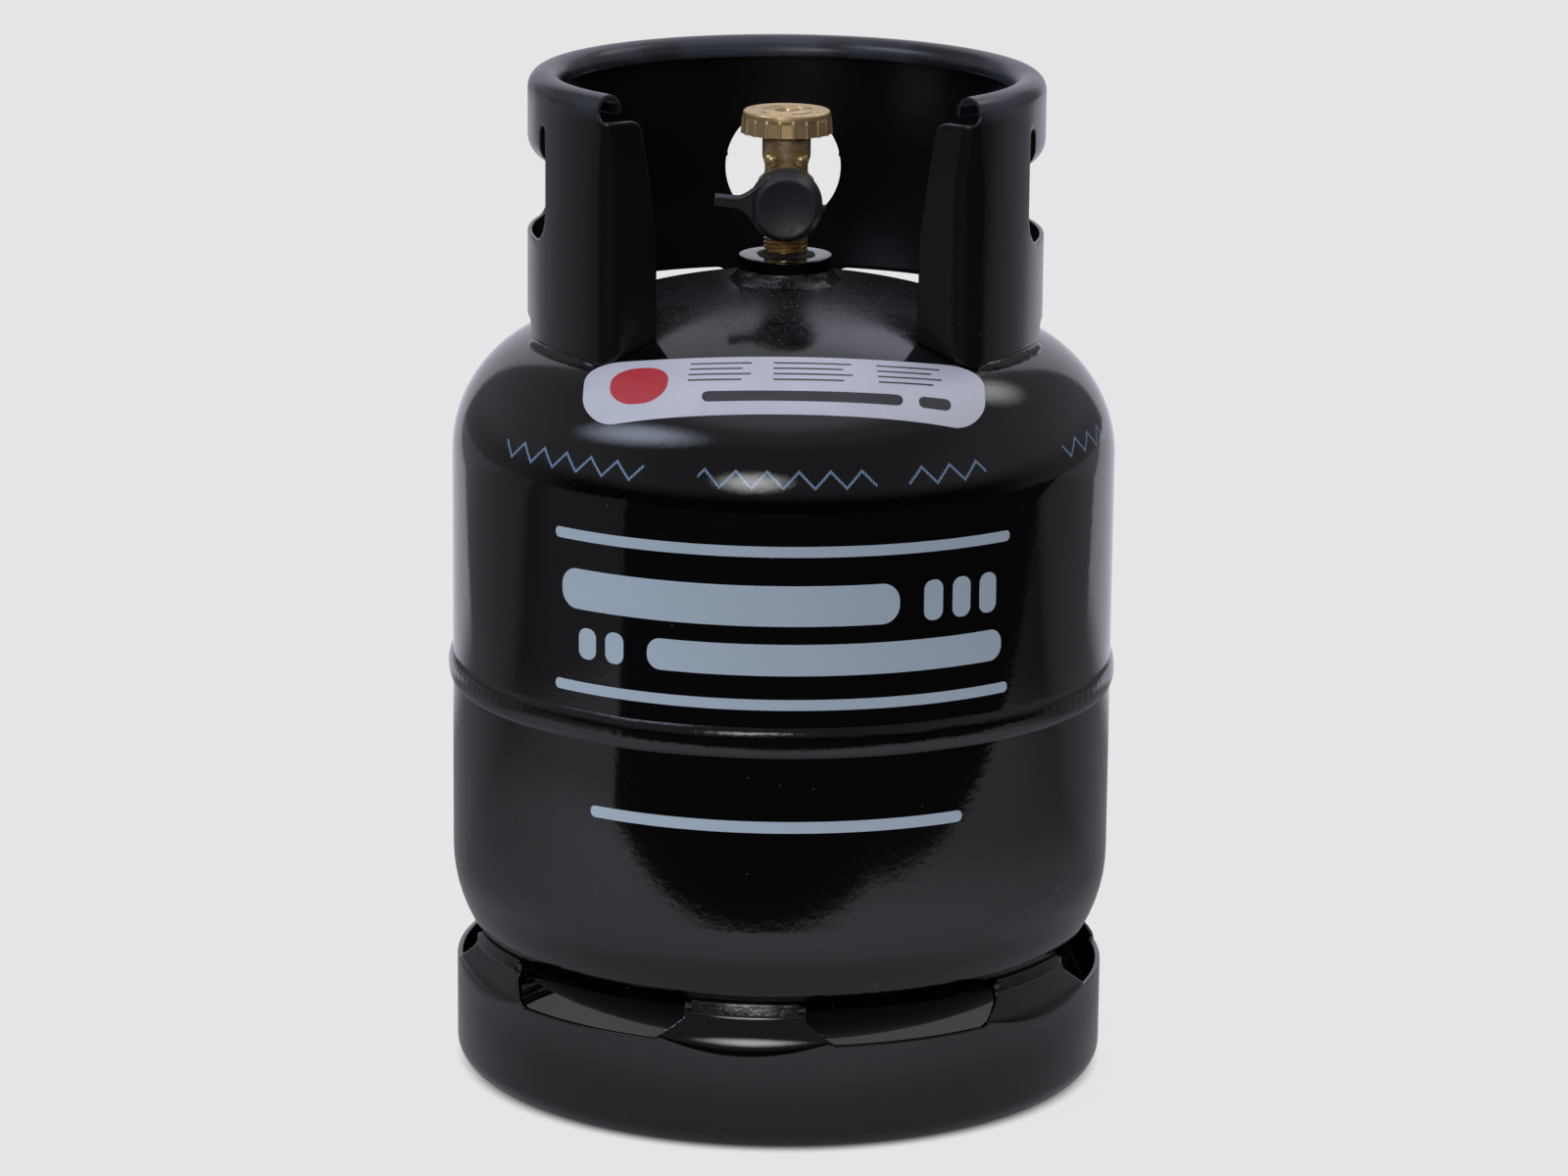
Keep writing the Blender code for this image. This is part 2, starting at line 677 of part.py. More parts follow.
def tab_gap_cutter():
    """Six radial cuts that leave the tabs standing between them."""
    pitch = 2 * math.pi / TAB_COUNT
    base_half = FOOT_RADIUS * math.sin((pitch - TAB_BASE_ANGLE) / 2)
    lip_half = LIP_RADIUS * math.sin((pitch - TAB_LIP_ANGLE) / 2)
    flare = (lip_half - base_half) / (LIP_TOP - FOOT_WALL_HEIGHT)
    high = LIP_TOP + CUT_EXTRA
    top_half = lip_half + flare * CUT_EXTRA
    corners = [(0.0, high), (-top_half, high), (-base_half, FOOT_WALL_HEIGHT),
               (base_half, FOOT_WALL_HEIGHT), (top_half, high), (0.0, high)]
    outline = rounded(corners, [0.0, TAB_GAP_CORNER, TAB_GAP_CORNER, 0.0])[1:]
    cutter = prism("tab_gap_cutter", outline, FOOT_RADIUS / 2, FOOT_RADIUS + CUT_EXTRA)
    bm = bmesh.new()
    bm.from_mesh(cutter.data)
    bmesh.ops.rotate(
        bm, verts=bm.verts, cent=(0, 0, 0), matrix=Matrix.Rotation(math.pi / 2, 3, "X"))
    first = TAB_TURN + pitch / 2
    bmesh.ops.rotate(bm, verts=bm.verts, cent=(0, 0, 0), matrix=Matrix.Rotation(first, 3, "Z"))
    source = bm.verts[:] + bm.edges[:] + bm.faces[:]
    for index in range(1, TAB_COUNT):
        copy = bmesh.ops.duplicate(bm, geom=source)
        verts = [part for part in copy["geom"] if isinstance(part, bmesh.types.BMVert)]
        spin = Matrix.Rotation(index * pitch, 3, "Z")
        bmesh.ops.rotate(bm, verts=verts, cent=(0, 0, 0), matrix=spin)
    bm.to_mesh(cutter.data)
    bm.free()
    return cutter


def build_foot_ring():
    inner_edge = FOOT_RADIUS - FOOT_CURL - FOOT_FLAT
    path = [(LIP_RADIUS, LIP_TOP), (LIP_RADIUS, LIP_BOTTOM), (FOOT_RADIUS, FOOT_WALL_HEIGHT),
            (FOOT_RADIUS, 0.0), (inner_edge, 0.0)]
    profile = rounded(path, [TAB_BEND, TAB_BEND, FOOT_CURL])
    ring = turned("foot_ring", profile, closed=False, steps=FOOT_STEPS)
    sheet = ring.modifiers.new("sheet", "SOLIDIFY")
    sheet.thickness = FOOT_SHEET
    sheet.offset = -1.0
    sheet.use_even_offset = True
    boolean(ring, tab_gap_cutter(), "DIFFERENCE")
    finish(ring, "black_paint")


def build_foot_welds():
    high = LIP_TOP + FOOT_WELD_HEIGHT
    shell = [head_radius(LOWER_TANGENT - z, LOWER_KNUCKLE) + GAP for z in (LIP_TOP + GAP, high)]
    section = [(shell[0], LIP_TOP + GAP), (LIP_RADIUS, LIP_TOP + GAP),
               (LIP_RADIUS + GAP, (LIP_TOP + high) / 2), (shell[1], high)]
    for index in range(TAB_COUNT):
        middle = TAB_TURN + index * 2 * math.pi / TAB_COUNT
        half = 0.45 * TAB_LIP_ANGLE
        weld = swept("foot_weld_%d" % (index + 1), section, middle - half, middle + half, 6)
        finish(weld, "black_paint")


# Valve


VALVE_AXIS = new_empty("valve_axis", (0.0, 0.0, BOSS_TOP))
OUTLET_AXIS = new_empty("outlet_axis", (0.0, 0.0, BOSS_TOP + OUTLET_HEIGHT), math.pi / 2)
RELIEF_AXIS = new_empty("relief_axis", (0.0, 0.0, BOSS_TOP + RELIEF_HEIGHT), -math.pi / 2)


def build_valve_body():
    bottom = STEM_EXPOSED - STEM_LENGTH
    block_top = BARREL_TOP - VALVE_SHOULDER
    cup_base = CUP_FLOOR + VALVE_SHOULDER
    profile = [
        (0.0, CUP_TOP), (CUP_RADIUS, CUP_TOP), (CUP_RADIUS, cup_base),
        (NECK_RADIUS, FLANGE_BOTTOM - VALVE_SHOULDER), (NECK_RADIUS, BARREL_TOP),
        (BLOCK_RADIUS, block_top), (BLOCK_RADIUS, STEM_EXPOSED + VALVE_SHOULDER),
        (STEM_RADIUS, STEM_EXPOSED), (stem_radius(bottom), bottom), (0.0, bottom),
    ]
    body = turned("valve_body", profile, closed=False, parent=VALVE_AXIS)
    on_outlet = {"parent": OUTLET_AXIS}
    on_relief = {"parent": RELIEF_AXIS}
    outlet = [(0.0, OUTLET_LENGTH), (OUTLET_RADIUS, OUTLET_LENGTH), (OUTLET_RADIUS, 0.0), (0.0, 0.0)]
    boolean(body, turned("outlet_barrel", outlet, closed=False, **on_outlet), "UNION", "MANIFOLD")
    boolean(body, rod("relief_boss", RELIEF_BOSS_RADIUS, 0.0, RELIEF_END, **on_relief), "UNION", "MANIFOLD")
    core = [
        (0.0, CUP_TOP + CUT_EXTRA), (CUP_BORE, CUP_TOP + CUT_EXTRA), (CUP_BORE, CUP_FLOOR),
        (CHAMBER_RADIUS, CUP_FLOOR), (CHAMBER_RADIUS, SEAT_HEIGHT), (GAS_BORE, SEAT_HEIGHT),
        (GAS_BORE, bottom - CUT_EXTRA), (0.0, bottom - CUT_EXTRA),
    ]
    boolean(body, turned("core_cutter", core, closed=False, parent=VALVE_AXIS), "DIFFERENCE", "MANIFOLD")
    inner = GAS_BORE / 2
    recess = OUTLET_LENGTH - SEAL_THICKNESS - GAP
    outlet_core = [
        (0.0, OUTLET_LENGTH + CUT_EXTRA), (SEAL_RADIUS + GAP, OUTLET_LENGTH + CUT_EXTRA),
        (SEAL_RADIUS + GAP, recess), (OUTLET_BORE, recess), (OUTLET_BORE, inner), (0.0, inner),
    ]
    boolean(body, turned("outlet_cutter", outlet_core, closed=False, **on_outlet), "DIFFERENCE", "MANIFOLD")
    relief_core = [
        (0.0, RELIEF_END + CUT_EXTRA), (RELIEF_CHAMBER, RELIEF_END + CUT_EXTRA),
        (RELIEF_CHAMBER, RELIEF_SEAT), (RELIEF_PORT, RELIEF_SEAT), (RELIEF_PORT, inner), (0.0, inner),
    ]
    boolean(body, turned("relief_cutter", relief_core, closed=False, **on_relief), "DIFFERENCE", "MANIFOLD")
    for side in (-1, 1):
        hole = rod(
            "pin_hole_cutter", PIN_SHANK + GAP, CUP_BORE / 2, CUP_RADIUS + CUT_EXTRA, steps=16,
            parent=VALVE_AXIS, location=(0, 0, PIN_HEIGHT),
            rotation=(math.pi / 2, 0.0, side * PIN_ANGLE))
        boolean(body, hole, "DIFFERENCE", "MANIFOLD")
    finish(body, "cast_brass")


def build_bonnet():
    pin_low = PIN_HEIGHT - PIN_GROOVE / 2
    pin_high = PIN_HEIGHT + PIN_GROOVE / 2
    ring_low = pin_high + O_RING_GROOVE / 2
    ring_high = ring_low + O_RING_GROOVE
    seal_high = BONNET_TOP - O_RING_GROOVE / 2
    seal_low = seal_high - O_RING_GROOVE
    ring_floor = BONNET_RADIUS - BONNET_RING_DEPTH
    seal_floor = BONNET_BORE + SPINDLE_RING_DEPTH
    profile = [
        (BONNET_BORE, BONNET_TOP), (BONNET_RADIUS, BONNET_TOP),
        (BONNET_RADIUS, ring_high), (ring_floor, ring_high), (ring_floor, ring_low),
        (BONNET_RADIUS, ring_low), (BONNET_RADIUS, pin_high), (ring_floor, pin_high),
        (ring_floor, pin_low), (BONNET_RADIUS, pin_low), (BONNET_RADIUS, BONNET_BOTTOM),
        (BONNET_BORE, BONNET_BOTTOM), (BONNET_BORE, seal_low), (seal_floor, seal_low),
        (seal_floor, seal_high), (BONNET_BORE, seal_high),
    ]
    finish(turned("bonnet", profile, parent=VALVE_AXIS), "turned_brass")
    tube = (CUP_BORE - ring_floor) / 2 - GAP
    middle = (CUP_BORE + ring_floor) / 2
    ring = torus_ring("bonnet_o_ring", middle, tube, (ring_low + ring_high) / 2, parent=VALVE_AXIS)
    finish(ring, "black_rubber")
    tube = (seal_floor - SPINDLE_RADIUS) / 2 - GAP
    middle = (seal_floor + SPINDLE_RADIUS) / 2
    ring = torus_ring("spindle_o_ring", middle, tube, (seal_low + seal_high) / 2, parent=VALVE_AXIS)
    finish(ring, "black_rubber")
    seat = CUP_RADIUS + GAP
    depth = ring_floor + GAP
    for name, side in (("bonnet_pin_left", -1), ("bonnet_pin_right", 1)):
        head = [(PIN_HEAD_RADIUS * math.cos(angle), seat + PIN_HEAD_HEIGHT * math.sin(angle))
                for angle in (math.pi / 2, math.pi / 3, math.pi / 6, 0.0)]
        shank = [(PIN_SHANK, seat), (PIN_SHANK, depth), (0.0, depth)]
        head[0] = (0.0, head[0][1])
        pin = turned(
            name, head + shank, closed=False, steps=16, parent=VALVE_AXIS,
            location=(0, 0, PIN_HEIGHT), rotation=(math.pi / 2, 0.0, side * PIN_ANGLE))
        finish(pin, "turned_brass")


def build_spindles():
    square_top = WHEEL_BOTTOM + HUB_TOP - GAP
    shaft_top = BONNET_TOP + GAP
    profile = [
        (0.0, shaft_top), (SPINDLE_RADIUS, shaft_top), (SPINDLE_RADIUS, FLANGE_TOP),
        (FLANGE_RADIUS, FLANGE_TOP), (FLANGE_RADIUS, FLANGE_BOTTOM), (0.0, FLANGE_BOTTOM),
    ]
    spindle = turned("spindle", profile, closed=False, parent=VALVE_AXIS)
    low = (shaft_top + FLANGE_TOP) / 2
    square = block(
        "spindle_square", (SQUARE_SIDE, SQUARE_SIDE, square_top - low),
        (0, 0, (square_top + low) / 2), parent=VALVE_AXIS)
    boolean(spindle, square, "UNION")
    high = (FLANGE_BOTTOM + FLANGE_TOP) / 2
    tongue = block(
        "spindle_tongue", (TONGUE_WIDTH, TONGUE_THICKNESS, high - TONGUE_BOTTOM),
        (0, 0, (high + TONGUE_BOTTOM) / 2), parent=VALVE_AXIS)
    boolean(spindle, tongue, "UNION")
    screw_tip = WHEEL_BOTTOM + HUB_TOP + GAP - SCREW_LENGTH
    hole = rod(
        "screw_hole_cutter", SCREW_SHANK + GAP, screw_tip - GAP, square_top + CUT_EXTRA, steps=12,
        parent=VALVE_AXIS)
    boolean(spindle, hole, "DIFFERENCE")
    finish(spindle, "turned_brass")
    profile = [
        (0.0, BARREL_TOP), (BARREL_RADIUS, BARREL_TOP), (BARREL_RADIUS, BARREL_BOTTOM),
        (NOSE_RADIUS, BARREL_BOTTOM), (NOSE_RADIUS, NOSE_BOTTOM), (0.0, NOSE_BOTTOM),
    ]
    lower = turned("lower_spindle", profile, closed=False, parent=VALVE_AXIS)
    slot = block(
        "slot_cutter",
        (2 * BARREL_RADIUS + CUT_EXTRA, TONGUE_THICKNESS + 2 * GAP, BARREL_TOP + CUT_EXTRA - SLOT_BOTTOM),
        (0, 0, (BARREL_TOP + CUT_EXTRA + SLOT_BOTTOM) / 2), parent=VALVE_AXIS)
    boolean(lower, slot, "DIFFERENCE")
    finish(lower, "turned_brass")
    disc = rod("seat_disc", DISC_RADIUS, SEAT_HEIGHT + GAP, DISC_TOP, parent=VALVE_AXIS)
    finish(disc, "black_rubber")


def rib_outline():
    """Ribbed edge of the handwheel, four points to a rib."""
    points = []
    half = RIB_WIDTH / 2 / WHEEL_RADIUS
    for index in range(WHEEL_RIBS):
        middle = 2 * math.pi * (index + 0.5) / WHEEL_RIBS
        for offset, radius in ((-1.6, 0.0), (-0.8, RIB_PROUD), (0.8, RIB_PROUD), (1.6, 0.0)):
            angle = middle + offset * half
            reach = WHEEL_RADIUS + radius
            points.append((reach * math.cos(angle), reach * math.sin(angle)))
    return points


def build_handwheel():
    place = {"parent": VALVE_AXIS, "location": (0, 0, WHEEL_BOTTOM)}
    taper = WHEEL_TOP_RADIUS / WHEEL_RADIUS
    flat = (WHEEL_TOP_RADIUS - WHEEL_EDGE) / WHEEL_RADIUS
    levels = [(0.0, 1.0), (WHEEL_HEIGHT - WHEEL_EDGE, taper), (WHEEL_HEIGHT, flat)]
    outline = rib_outline()
    rings = [[(x * share, y * share, height) for x, y in outline] for height, share in levels]
    wheel = lofted("handwheel", rings, **place)
    ceiling = WHEEL_HEIGHT - WHEEL_TOP_SKIN
    hollow = [
        (WHEEL_HUB_RADIUS, ceiling), (WHEEL_TOP_RADIUS - WHEEL_RIM, ceiling),
        (WHEEL_RADIUS - WHEEL_RIM, -CUT_EXTRA), (WHEEL_HUB_RADIUS, -CUT_EXTRA),
    ]
    boolean(wheel, turned("wheel_hollow_cutter", hollow, **place), "DIFFERENCE")
    recess = rod("wheel_recess_cutter", WHEEL_RECESS_RADIUS, HUB_TOP, WHEEL_HEIGHT + CUT_EXTRA, **place)
    boolean(wheel, recess, "DIFFERENCE")
    side = SQUARE_SIDE + 2 * GAP
    hole = block("wheel_hole_cutter", (side, side, 2 * WHEEL_HEIGHT), (0, 0, 0), **place)
    boolean(wheel, hole, "DIFFERENCE")
    finish(wheel, "gold_wheel")
    seat = HUB_TOP + GAP
    profile = [
        (0.0, seat + SCREW_HEAD_HEIGHT), (0.7 * SCREW_HEAD_RADIUS, seat + SCREW_HEAD_HEIGHT),
        (SCREW_HEAD_RADIUS, seat + 0.5 * SCREW_HEAD_HEIGHT), (SCREW_HEAD_RADIUS, seat),
        (SCREW_SHANK, seat), (SCREW_SHANK, seat - SCREW_LENGTH), (0.0, seat - SCREW_LENGTH),
    ]
    screw = turned("handwheel_screw", profile, closed=False, steps=16, **place)
    finish(screw, "spring_steel")


# Outlet and cap


def build_outlet_pieces():
    recess = OUTLET_LENGTH - SEAL_THICKNESS
    ring = [
        (SEAL_BORE, OUTLET_LENGTH - GAP), (SEAL_RADIUS, OUTLET_LENGTH - GAP),
        (SEAL_RADIUS, recess), (SEAL_BORE, recess),
    ]
    finish(turned("outlet_seal", ring, parent=OUTLET_AXIS), "black_rubber")
    washer = rod(
        "cap_washer", OUTLET_RADIUS, WASHER_SEAT, WASHER_SEAT + CAP_WASHER_THICKNESS,
        parent=OUTLET_AXIS)
    finish(washer, "black_rubber")


def cap_wing_outline():
    """Finger wing seen along the outlet: wide root, concave flanks and a blunt tip."""
    steps = 6
    root_x = CAP_FACE_RADIUS * 0.6
    upper = []
    for step in range(steps + 1):
        share = step / steps
        half = CAP_WING_TIP / 2 + (CAP_WING_ROOT - CAP_WING_TIP / 2) * (1 - share) ** 2
        upper.append((-root_x - (CAP_WING_REACH - root_x) * share, half))
    return upper + [(x, -y) for x, y in reversed(upper)]


def build_outlet_cap():
    bore = OUTLET_RADIUS + RUNNING_GAP
    dish = CAP_FRONT - CAP_DISH_DEPTH
    skirt_front = CAP_REAR + CAP_SKIRT_LENGTH
    profile = [
        (0.0, dish), (CAP_DISH_RADIUS - CAP_EDGE, dish), (CAP_DISH_RADIUS, CAP_FRONT),
        (CAP_FACE_RADIUS - CAP_EDGE, CAP_FRONT), (CAP_FACE_RADIUS, CAP_FRONT - CAP_EDGE),
        (CAP_RADIUS, skirt_front), (CAP_RADIUS, CAP_REAR), (bore, CAP_REAR), (bore, CAP_BASE),
        (0.0, CAP_BASE),
    ]
    cap = turned("outlet_cap", profile, closed=False, parent=OUTLET_AXIS)
    low = (CAP_REAR + skirt_front) / 2
    wing = prism(
        "cap_wing", cap_wing_outline(), low, low + CAP_WING_DEPTH, parent=OUTLET_AXIS,
        rotation=(0.0, 0.0, -CAP_WING_TURN))
    inside = rod("cap_bore_cutter", bore, CAP_REAR - CUT_EXTRA, CAP_BASE, parent=OUTLET_AXIS)
    boolean(cap, wing, "UNION")
    nub = block(
        "cap_nub", (2 * CAP_NUB, 2 * CAP_NUB, CAP_SKIRT_LENGTH / 2), (CAP_RADIUS, 0, low),
        parent=OUTLET_AXIS, rotation=(0.0, 0.0, -CAP_WING_TURN))
    boolean(cap, nub, "UNION")
    boolean(cap, inside, "DIFFERENCE")
    finish(cap, "black_plastic")


# Relief valve


def spring_path():
    """Helix of the relief spring along local Z, from seat to seat."""
    rise = SPRING_LENGTH - SPRING_WIRE
    count = SPRING_TURNS * SPRING_TURN_POINTS
    points = []
    for index in range(count + 1):
        angle = 2 * math.pi * index / SPRING_TURN_POINTS
        height = SPRING_SEAT + SPRING_WIRE / 2 + rise * index / count
        points.append(Vector((SPRING_RADIUS * math.cos(angle), SPRING_RADIUS * math.sin(angle), height)))
    return points


def spring_self_gap(points):
    """Least clear distance between turns of the wire."""
    half_turn = SPRING_TURN_POINTS // 2
    least = SPRING_LENGTH
    for index, point in enumerate(points):
        for other in points[index + half_turn:]:
            least = min(least, (point - other).length - SPRING_WIRE)
    return least


def build_relief_spring():
    points = spring_path()
    curve = bpy.data.curves.new("relief_spring_path", "CURVE")
    curve.dimensions = "3D"
    curve.bevel_depth = SPRING_WIRE / 2
    curve.bevel_resolution = 1
    curve.use_fill_caps = True
    spline = curve.splines.new("POLY")
    spline.points.add(len(points) - 1)
    for target, point in zip(spline.points, points):
        target.co = (*point, 1.0)
    wire = add_object("relief_spring_path", curve)
    bpy.context.view_layer.update()
    evaluated = wire.evaluated_get(bpy.context.evaluated_depsgraph_get())
    mesh = bpy.data.meshes.new_from_object(evaluated)
    bpy.data.objects.remove(wire)
    bm = bmesh.new()
    bm.from_mesh(mesh)
    bmesh.ops.remove_doubles(bm, verts=bm.verts, dist=MERGE)
    spring = add_object("relief_spring", mesh_from(bm, "relief_spring"), RELIEF_AXIS)
    finish(spring, "spring_steel")
    print("relief spring: least gap between turns %.2f mm" % (spring_self_gap(points) * 1000))


def build_relief_valve():
    seal_top = RELIEF_SEAT + GAP + RELIEF_SEAL_THICKNESS
    seal = rod("relief_seal", RELIEF_SEAL_RADIUS, RELIEF_SEAT + GAP, seal_top, parent=RELIEF_AXIS)
    finish(seal, "black_rubber")
    disc_end = RELIEF_DISC + RELIEF_DISC_THICKNESS
    profile = [
        (0.0, disc_end + RELIEF_STEM_LENGTH), (RELIEF_STEM_RADIUS, disc_end + RELIEF_STEM_LENGTH),
        (RELIEF_STEM_RADIUS, disc_end), (RELIEF_CHAMBER - RUNNING_GAP, disc_end),
        (RELIEF_CHAMBER - RUNNING_GAP, RELIEF_DISC), (0.0, RELIEF_DISC),
    ]
    piston = turned("relief_piston", profile, closed=False, parent=RELIEF_AXIS)
    finish(piston, "turned_brass")
    ring = [
        (RELIEF_STEM_RADIUS + RUNNING_GAP, RELIEF_END), (RELIEF_CHAMBER - GAP, RELIEF_END),
        (RELIEF_CHAMBER - GAP, RELIEF_CAP_SEAT), (RELIEF_STEM_RADIUS + RUNNING_GAP, RELIEF_CAP_SEAT),
    ]
    finish(turned("relief_cap", ring, parent=RELIEF_AXIS), "turned_brass")


build_upper_shell()
build_lower_shell()
build_seam_weld()
build_neck_boss()
build_boss_weld()
build_collar()
build_collar_welds()
build_foot_ring()
build_foot_welds()
build_valve_body()
build_bonnet()
build_spindles()
build_handwheel()
build_outlet_pieces()
build_outlet_cap()
build_relief_spring()
build_relief_valve()
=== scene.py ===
# %% [markdown]
# # A steel gas bottle, dressed for the studio
# The solids of this bottle come from a imported model: two pressed shells, a guard collar, a foot
# ring, a brass valve with its wheel and a plastic cap. They are true in size but plain. Here each
# one that shows gets a finer skin in the same place, and a finish made of shader nodes.

# %% Load the imported model
import math

import bmesh
import bpy
from mathutils import Matrix, Vector, noise


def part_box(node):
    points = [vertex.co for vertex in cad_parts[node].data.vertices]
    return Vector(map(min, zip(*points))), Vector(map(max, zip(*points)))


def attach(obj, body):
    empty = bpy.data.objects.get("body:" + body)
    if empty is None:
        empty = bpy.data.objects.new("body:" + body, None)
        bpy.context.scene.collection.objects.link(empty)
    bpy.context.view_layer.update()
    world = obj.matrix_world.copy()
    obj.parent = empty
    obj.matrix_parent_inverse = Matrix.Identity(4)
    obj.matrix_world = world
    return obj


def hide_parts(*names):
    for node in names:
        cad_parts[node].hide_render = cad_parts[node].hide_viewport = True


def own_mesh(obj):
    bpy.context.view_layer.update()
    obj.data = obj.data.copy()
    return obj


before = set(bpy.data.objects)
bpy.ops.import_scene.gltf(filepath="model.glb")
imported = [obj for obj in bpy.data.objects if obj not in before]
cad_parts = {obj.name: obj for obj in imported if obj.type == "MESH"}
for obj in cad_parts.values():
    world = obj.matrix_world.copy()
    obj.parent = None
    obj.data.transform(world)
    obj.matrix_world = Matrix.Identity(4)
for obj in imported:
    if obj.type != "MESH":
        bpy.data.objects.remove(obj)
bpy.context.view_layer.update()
MM = 0.001
print("packed nodes:", len(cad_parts))

# %% [markdown]
# ## The camera
# The picture was taken with a long lens, a little above the bottle's top, looking down. A camera
# can be turned with angles, but a matrix built from its own right, up and forward arrows leaves no
# doubt about the order of the turns. The lens follows from the picture's width in pixels.

# %% Camera at the picture's angle
def link_object(name, data):
    """Make an object of a mesh, a lamp or a camera and put it in the scene."""
    item = bpy.data.objects.new(name, data)
    bpy.context.scene.collection.objects.link(item)
    return item


PICTURE_WIDTH = 1600
FOCAL_PIXELS = 6153
SENSOR_WIDTH = 36.0
CAMERA_PLACE = Vector((0.00079, -2.6725, 0.8664))
CAMERA_PITCH = math.radians(13.597)
CAMERA_ROLL = math.radians(0.56)


def add_camera():
    data = bpy.data.cameras.new("camera")
    data.sensor_width = SENSOR_WIDTH
    data.lens = FOCAL_PIXELS * SENSOR_WIDTH / PICTURE_WIDTH
    level = Vector((1.0, 0.0, 0.0))
    tilted = Vector((0.0, math.sin(CAMERA_PITCH), math.cos(CAMERA_PITCH)))
    forward = Vector((0.0, math.cos(CAMERA_PITCH), -math.sin(CAMERA_PITCH)))
    right = math.cos(CAMERA_ROLL) * level + math.sin(CAMERA_ROLL) * tilted
    up = math.cos(CAMERA_ROLL) * tilted - math.sin(CAMERA_ROLL) * level
    turn = Matrix((right, up, -forward)).transposed().to_4x4()
    camera = link_object("camera", data)
    camera.matrix_world = Matrix.Translation(CAMERA_PLACE) @ turn
    bpy.context.scene.camera = camera
    return camera


print("lens:", round(add_camera().data.lens, 1), "mm")

# %% [markdown]
# ## Small helpers for shader nodes
# Every finish below is a tree of nodes, and a few helpers keep the trees short. One adds a node and
# sets or links its sockets by name, and the others are the nodes that come up again and again. The
# last two open a material and link the finished colour, roughness and fine relief to its shader.

# %% Node helpers
def add_node(tree, kind, settings=None, **sockets):
    """Add a node; a socket's value may be a number, a colour or another node's output."""
    item = tree.nodes.new("ShaderNode" + kind)
    for name, value in (settings or {}).items():
        setattr(item, name, value)
    for name, value in sockets.items():
        key = int(name[1:]) if name[0] == "i" and name[1:].isdigit() else name.replace("_", " ")
        if isinstance(value, bpy.types.NodeSocket):
            tree.links.new(value, item.inputs[key])
        else:
            item.inputs[key].default_value = value
    return item


def math_node(tree, operation, first, second=0.0, clamp=False):
    settings = {"operation": operation, "use_clamp": clamp}
    return add_node(tree, "Math", settings, i0=first, i1=second).outputs[0]


def vector_node(tree, operation, first, second=(0, 0, 0)):
    item = add_node(tree, "VectorMath", {"operation": operation}, i0=first, i1=second)
    return item.outputs["Value" if operation in ("LENGTH", "DOT_PRODUCT") else "Vector"]


def object_place(tree):
    """Place on the piece, which stays put when the bottle is turned or moved."""
    return add_node(tree, "TexCoord").outputs["Object"]


def fade(tree, value, low, high, to_low=0.0, to_high=1.0):
    """Map a value from one range to another along a smooth step."""
    return add_node(
        tree, "MapRange", {"interpolation_type": "SMOOTHSTEP"}, Value=value, From_Min=low, From_Max=high,
        To_Min=to_low, To_Max=to_high).outputs[0]


def mix_colour(tree, factor, first, second):
    return add_node(tree, "Mix", {"data_type": "RGBA"}, i0=factor, i6=first, i7=second).outputs[2]


def noise_node(tree, vector, scale, detail=2.0, roughness=0.5):
    return add_node(
        tree, "TexNoise", Vector=vector, Scale=scale, Detail=detail, Roughness=roughness).outputs["Fac"]


def new_finish(name):
    """Open a material and return its node tree and its main shader."""
    material = bpy.data.materials.new(name)
    material.use_nodes = True
    return material, material.node_tree, material.node_tree.nodes["Principled BSDF"]


def set_surface(tree, shader, colour, roughness, height, depth):
    """Link colour, roughness and a relief of the given depth to a shader."""
    bump = add_node(tree, "Bump", Strength=1.0, Distance=depth, Height=height)
    tree.links.new(colour, shader.inputs["Base Color"])
    tree.links.new(roughness, shader.inputs["Roughness"])
    tree.links.new(bump.outputs[0], shader.inputs["Normal"])


print("node helpers ready")

# %% [markdown]
# ## The studio
# Black paint shows little of itself and much of the room, so the room is what has to be right. The
# light on the floor ends a little way in front of the bottle: the lower head mirrors the lit part,
# and the upright wall in the middle mirrors the dark beyond. Behind the bottle a lit wedge of paper
# goes up into a bright backdrop. At the rims the paint mirrors that wedge as a grey crescent with a
# crisp inner edge, while the flanks mirror the dimmer table beside it.

# %% Paper finish
WHITE = (1.0, 1.0, 1.0, 1.0)
COOL = (0.97, 0.97, 1.10, 1.0)
PAPER_GREY = (0.06, 0.06, 0.06, 1.0)
PAPER_SEEN = 0.755
WEDGE_LEFT = ((1.0, 0.45, 0.0), 0.46)
WEDGE_RIGHT = ((-1.0, 0.70, 0.0), 0.43)
WEDGE_TONE = 0.74
WEDGE_SOFT = 0.02
LIGHT_FRONT = ((0.11, 1.0, 0.0), 0.44)
LIGHT_SLANT = ((-0.45, 1.0, 0.0), 0.575)
LIGHT_SIDE = ((-1.0, 1.33, 0.0), 0.0)
LIGHT_SOFT = 0.015
SPREAD_SHIFT = (0.08, 0.0, 0.0)
RING_SHADE = 0.07


def blend(tree, share, first, second):
    """Mix two values by a share from zero to one."""
    return add_node(tree, "Mix", {"data_type": "FLOAT"}, i0=share, i2=first, i3=second).outputs[0]


def beyond(tree, place, line):
    """How far a place on the floor lies beyond a slanted line; less than zero before it."""
    slope, shift = line
    return math_node(tree, "ADD", vector_node(tree, "DOT_PRODUCT", place, slope), shift)


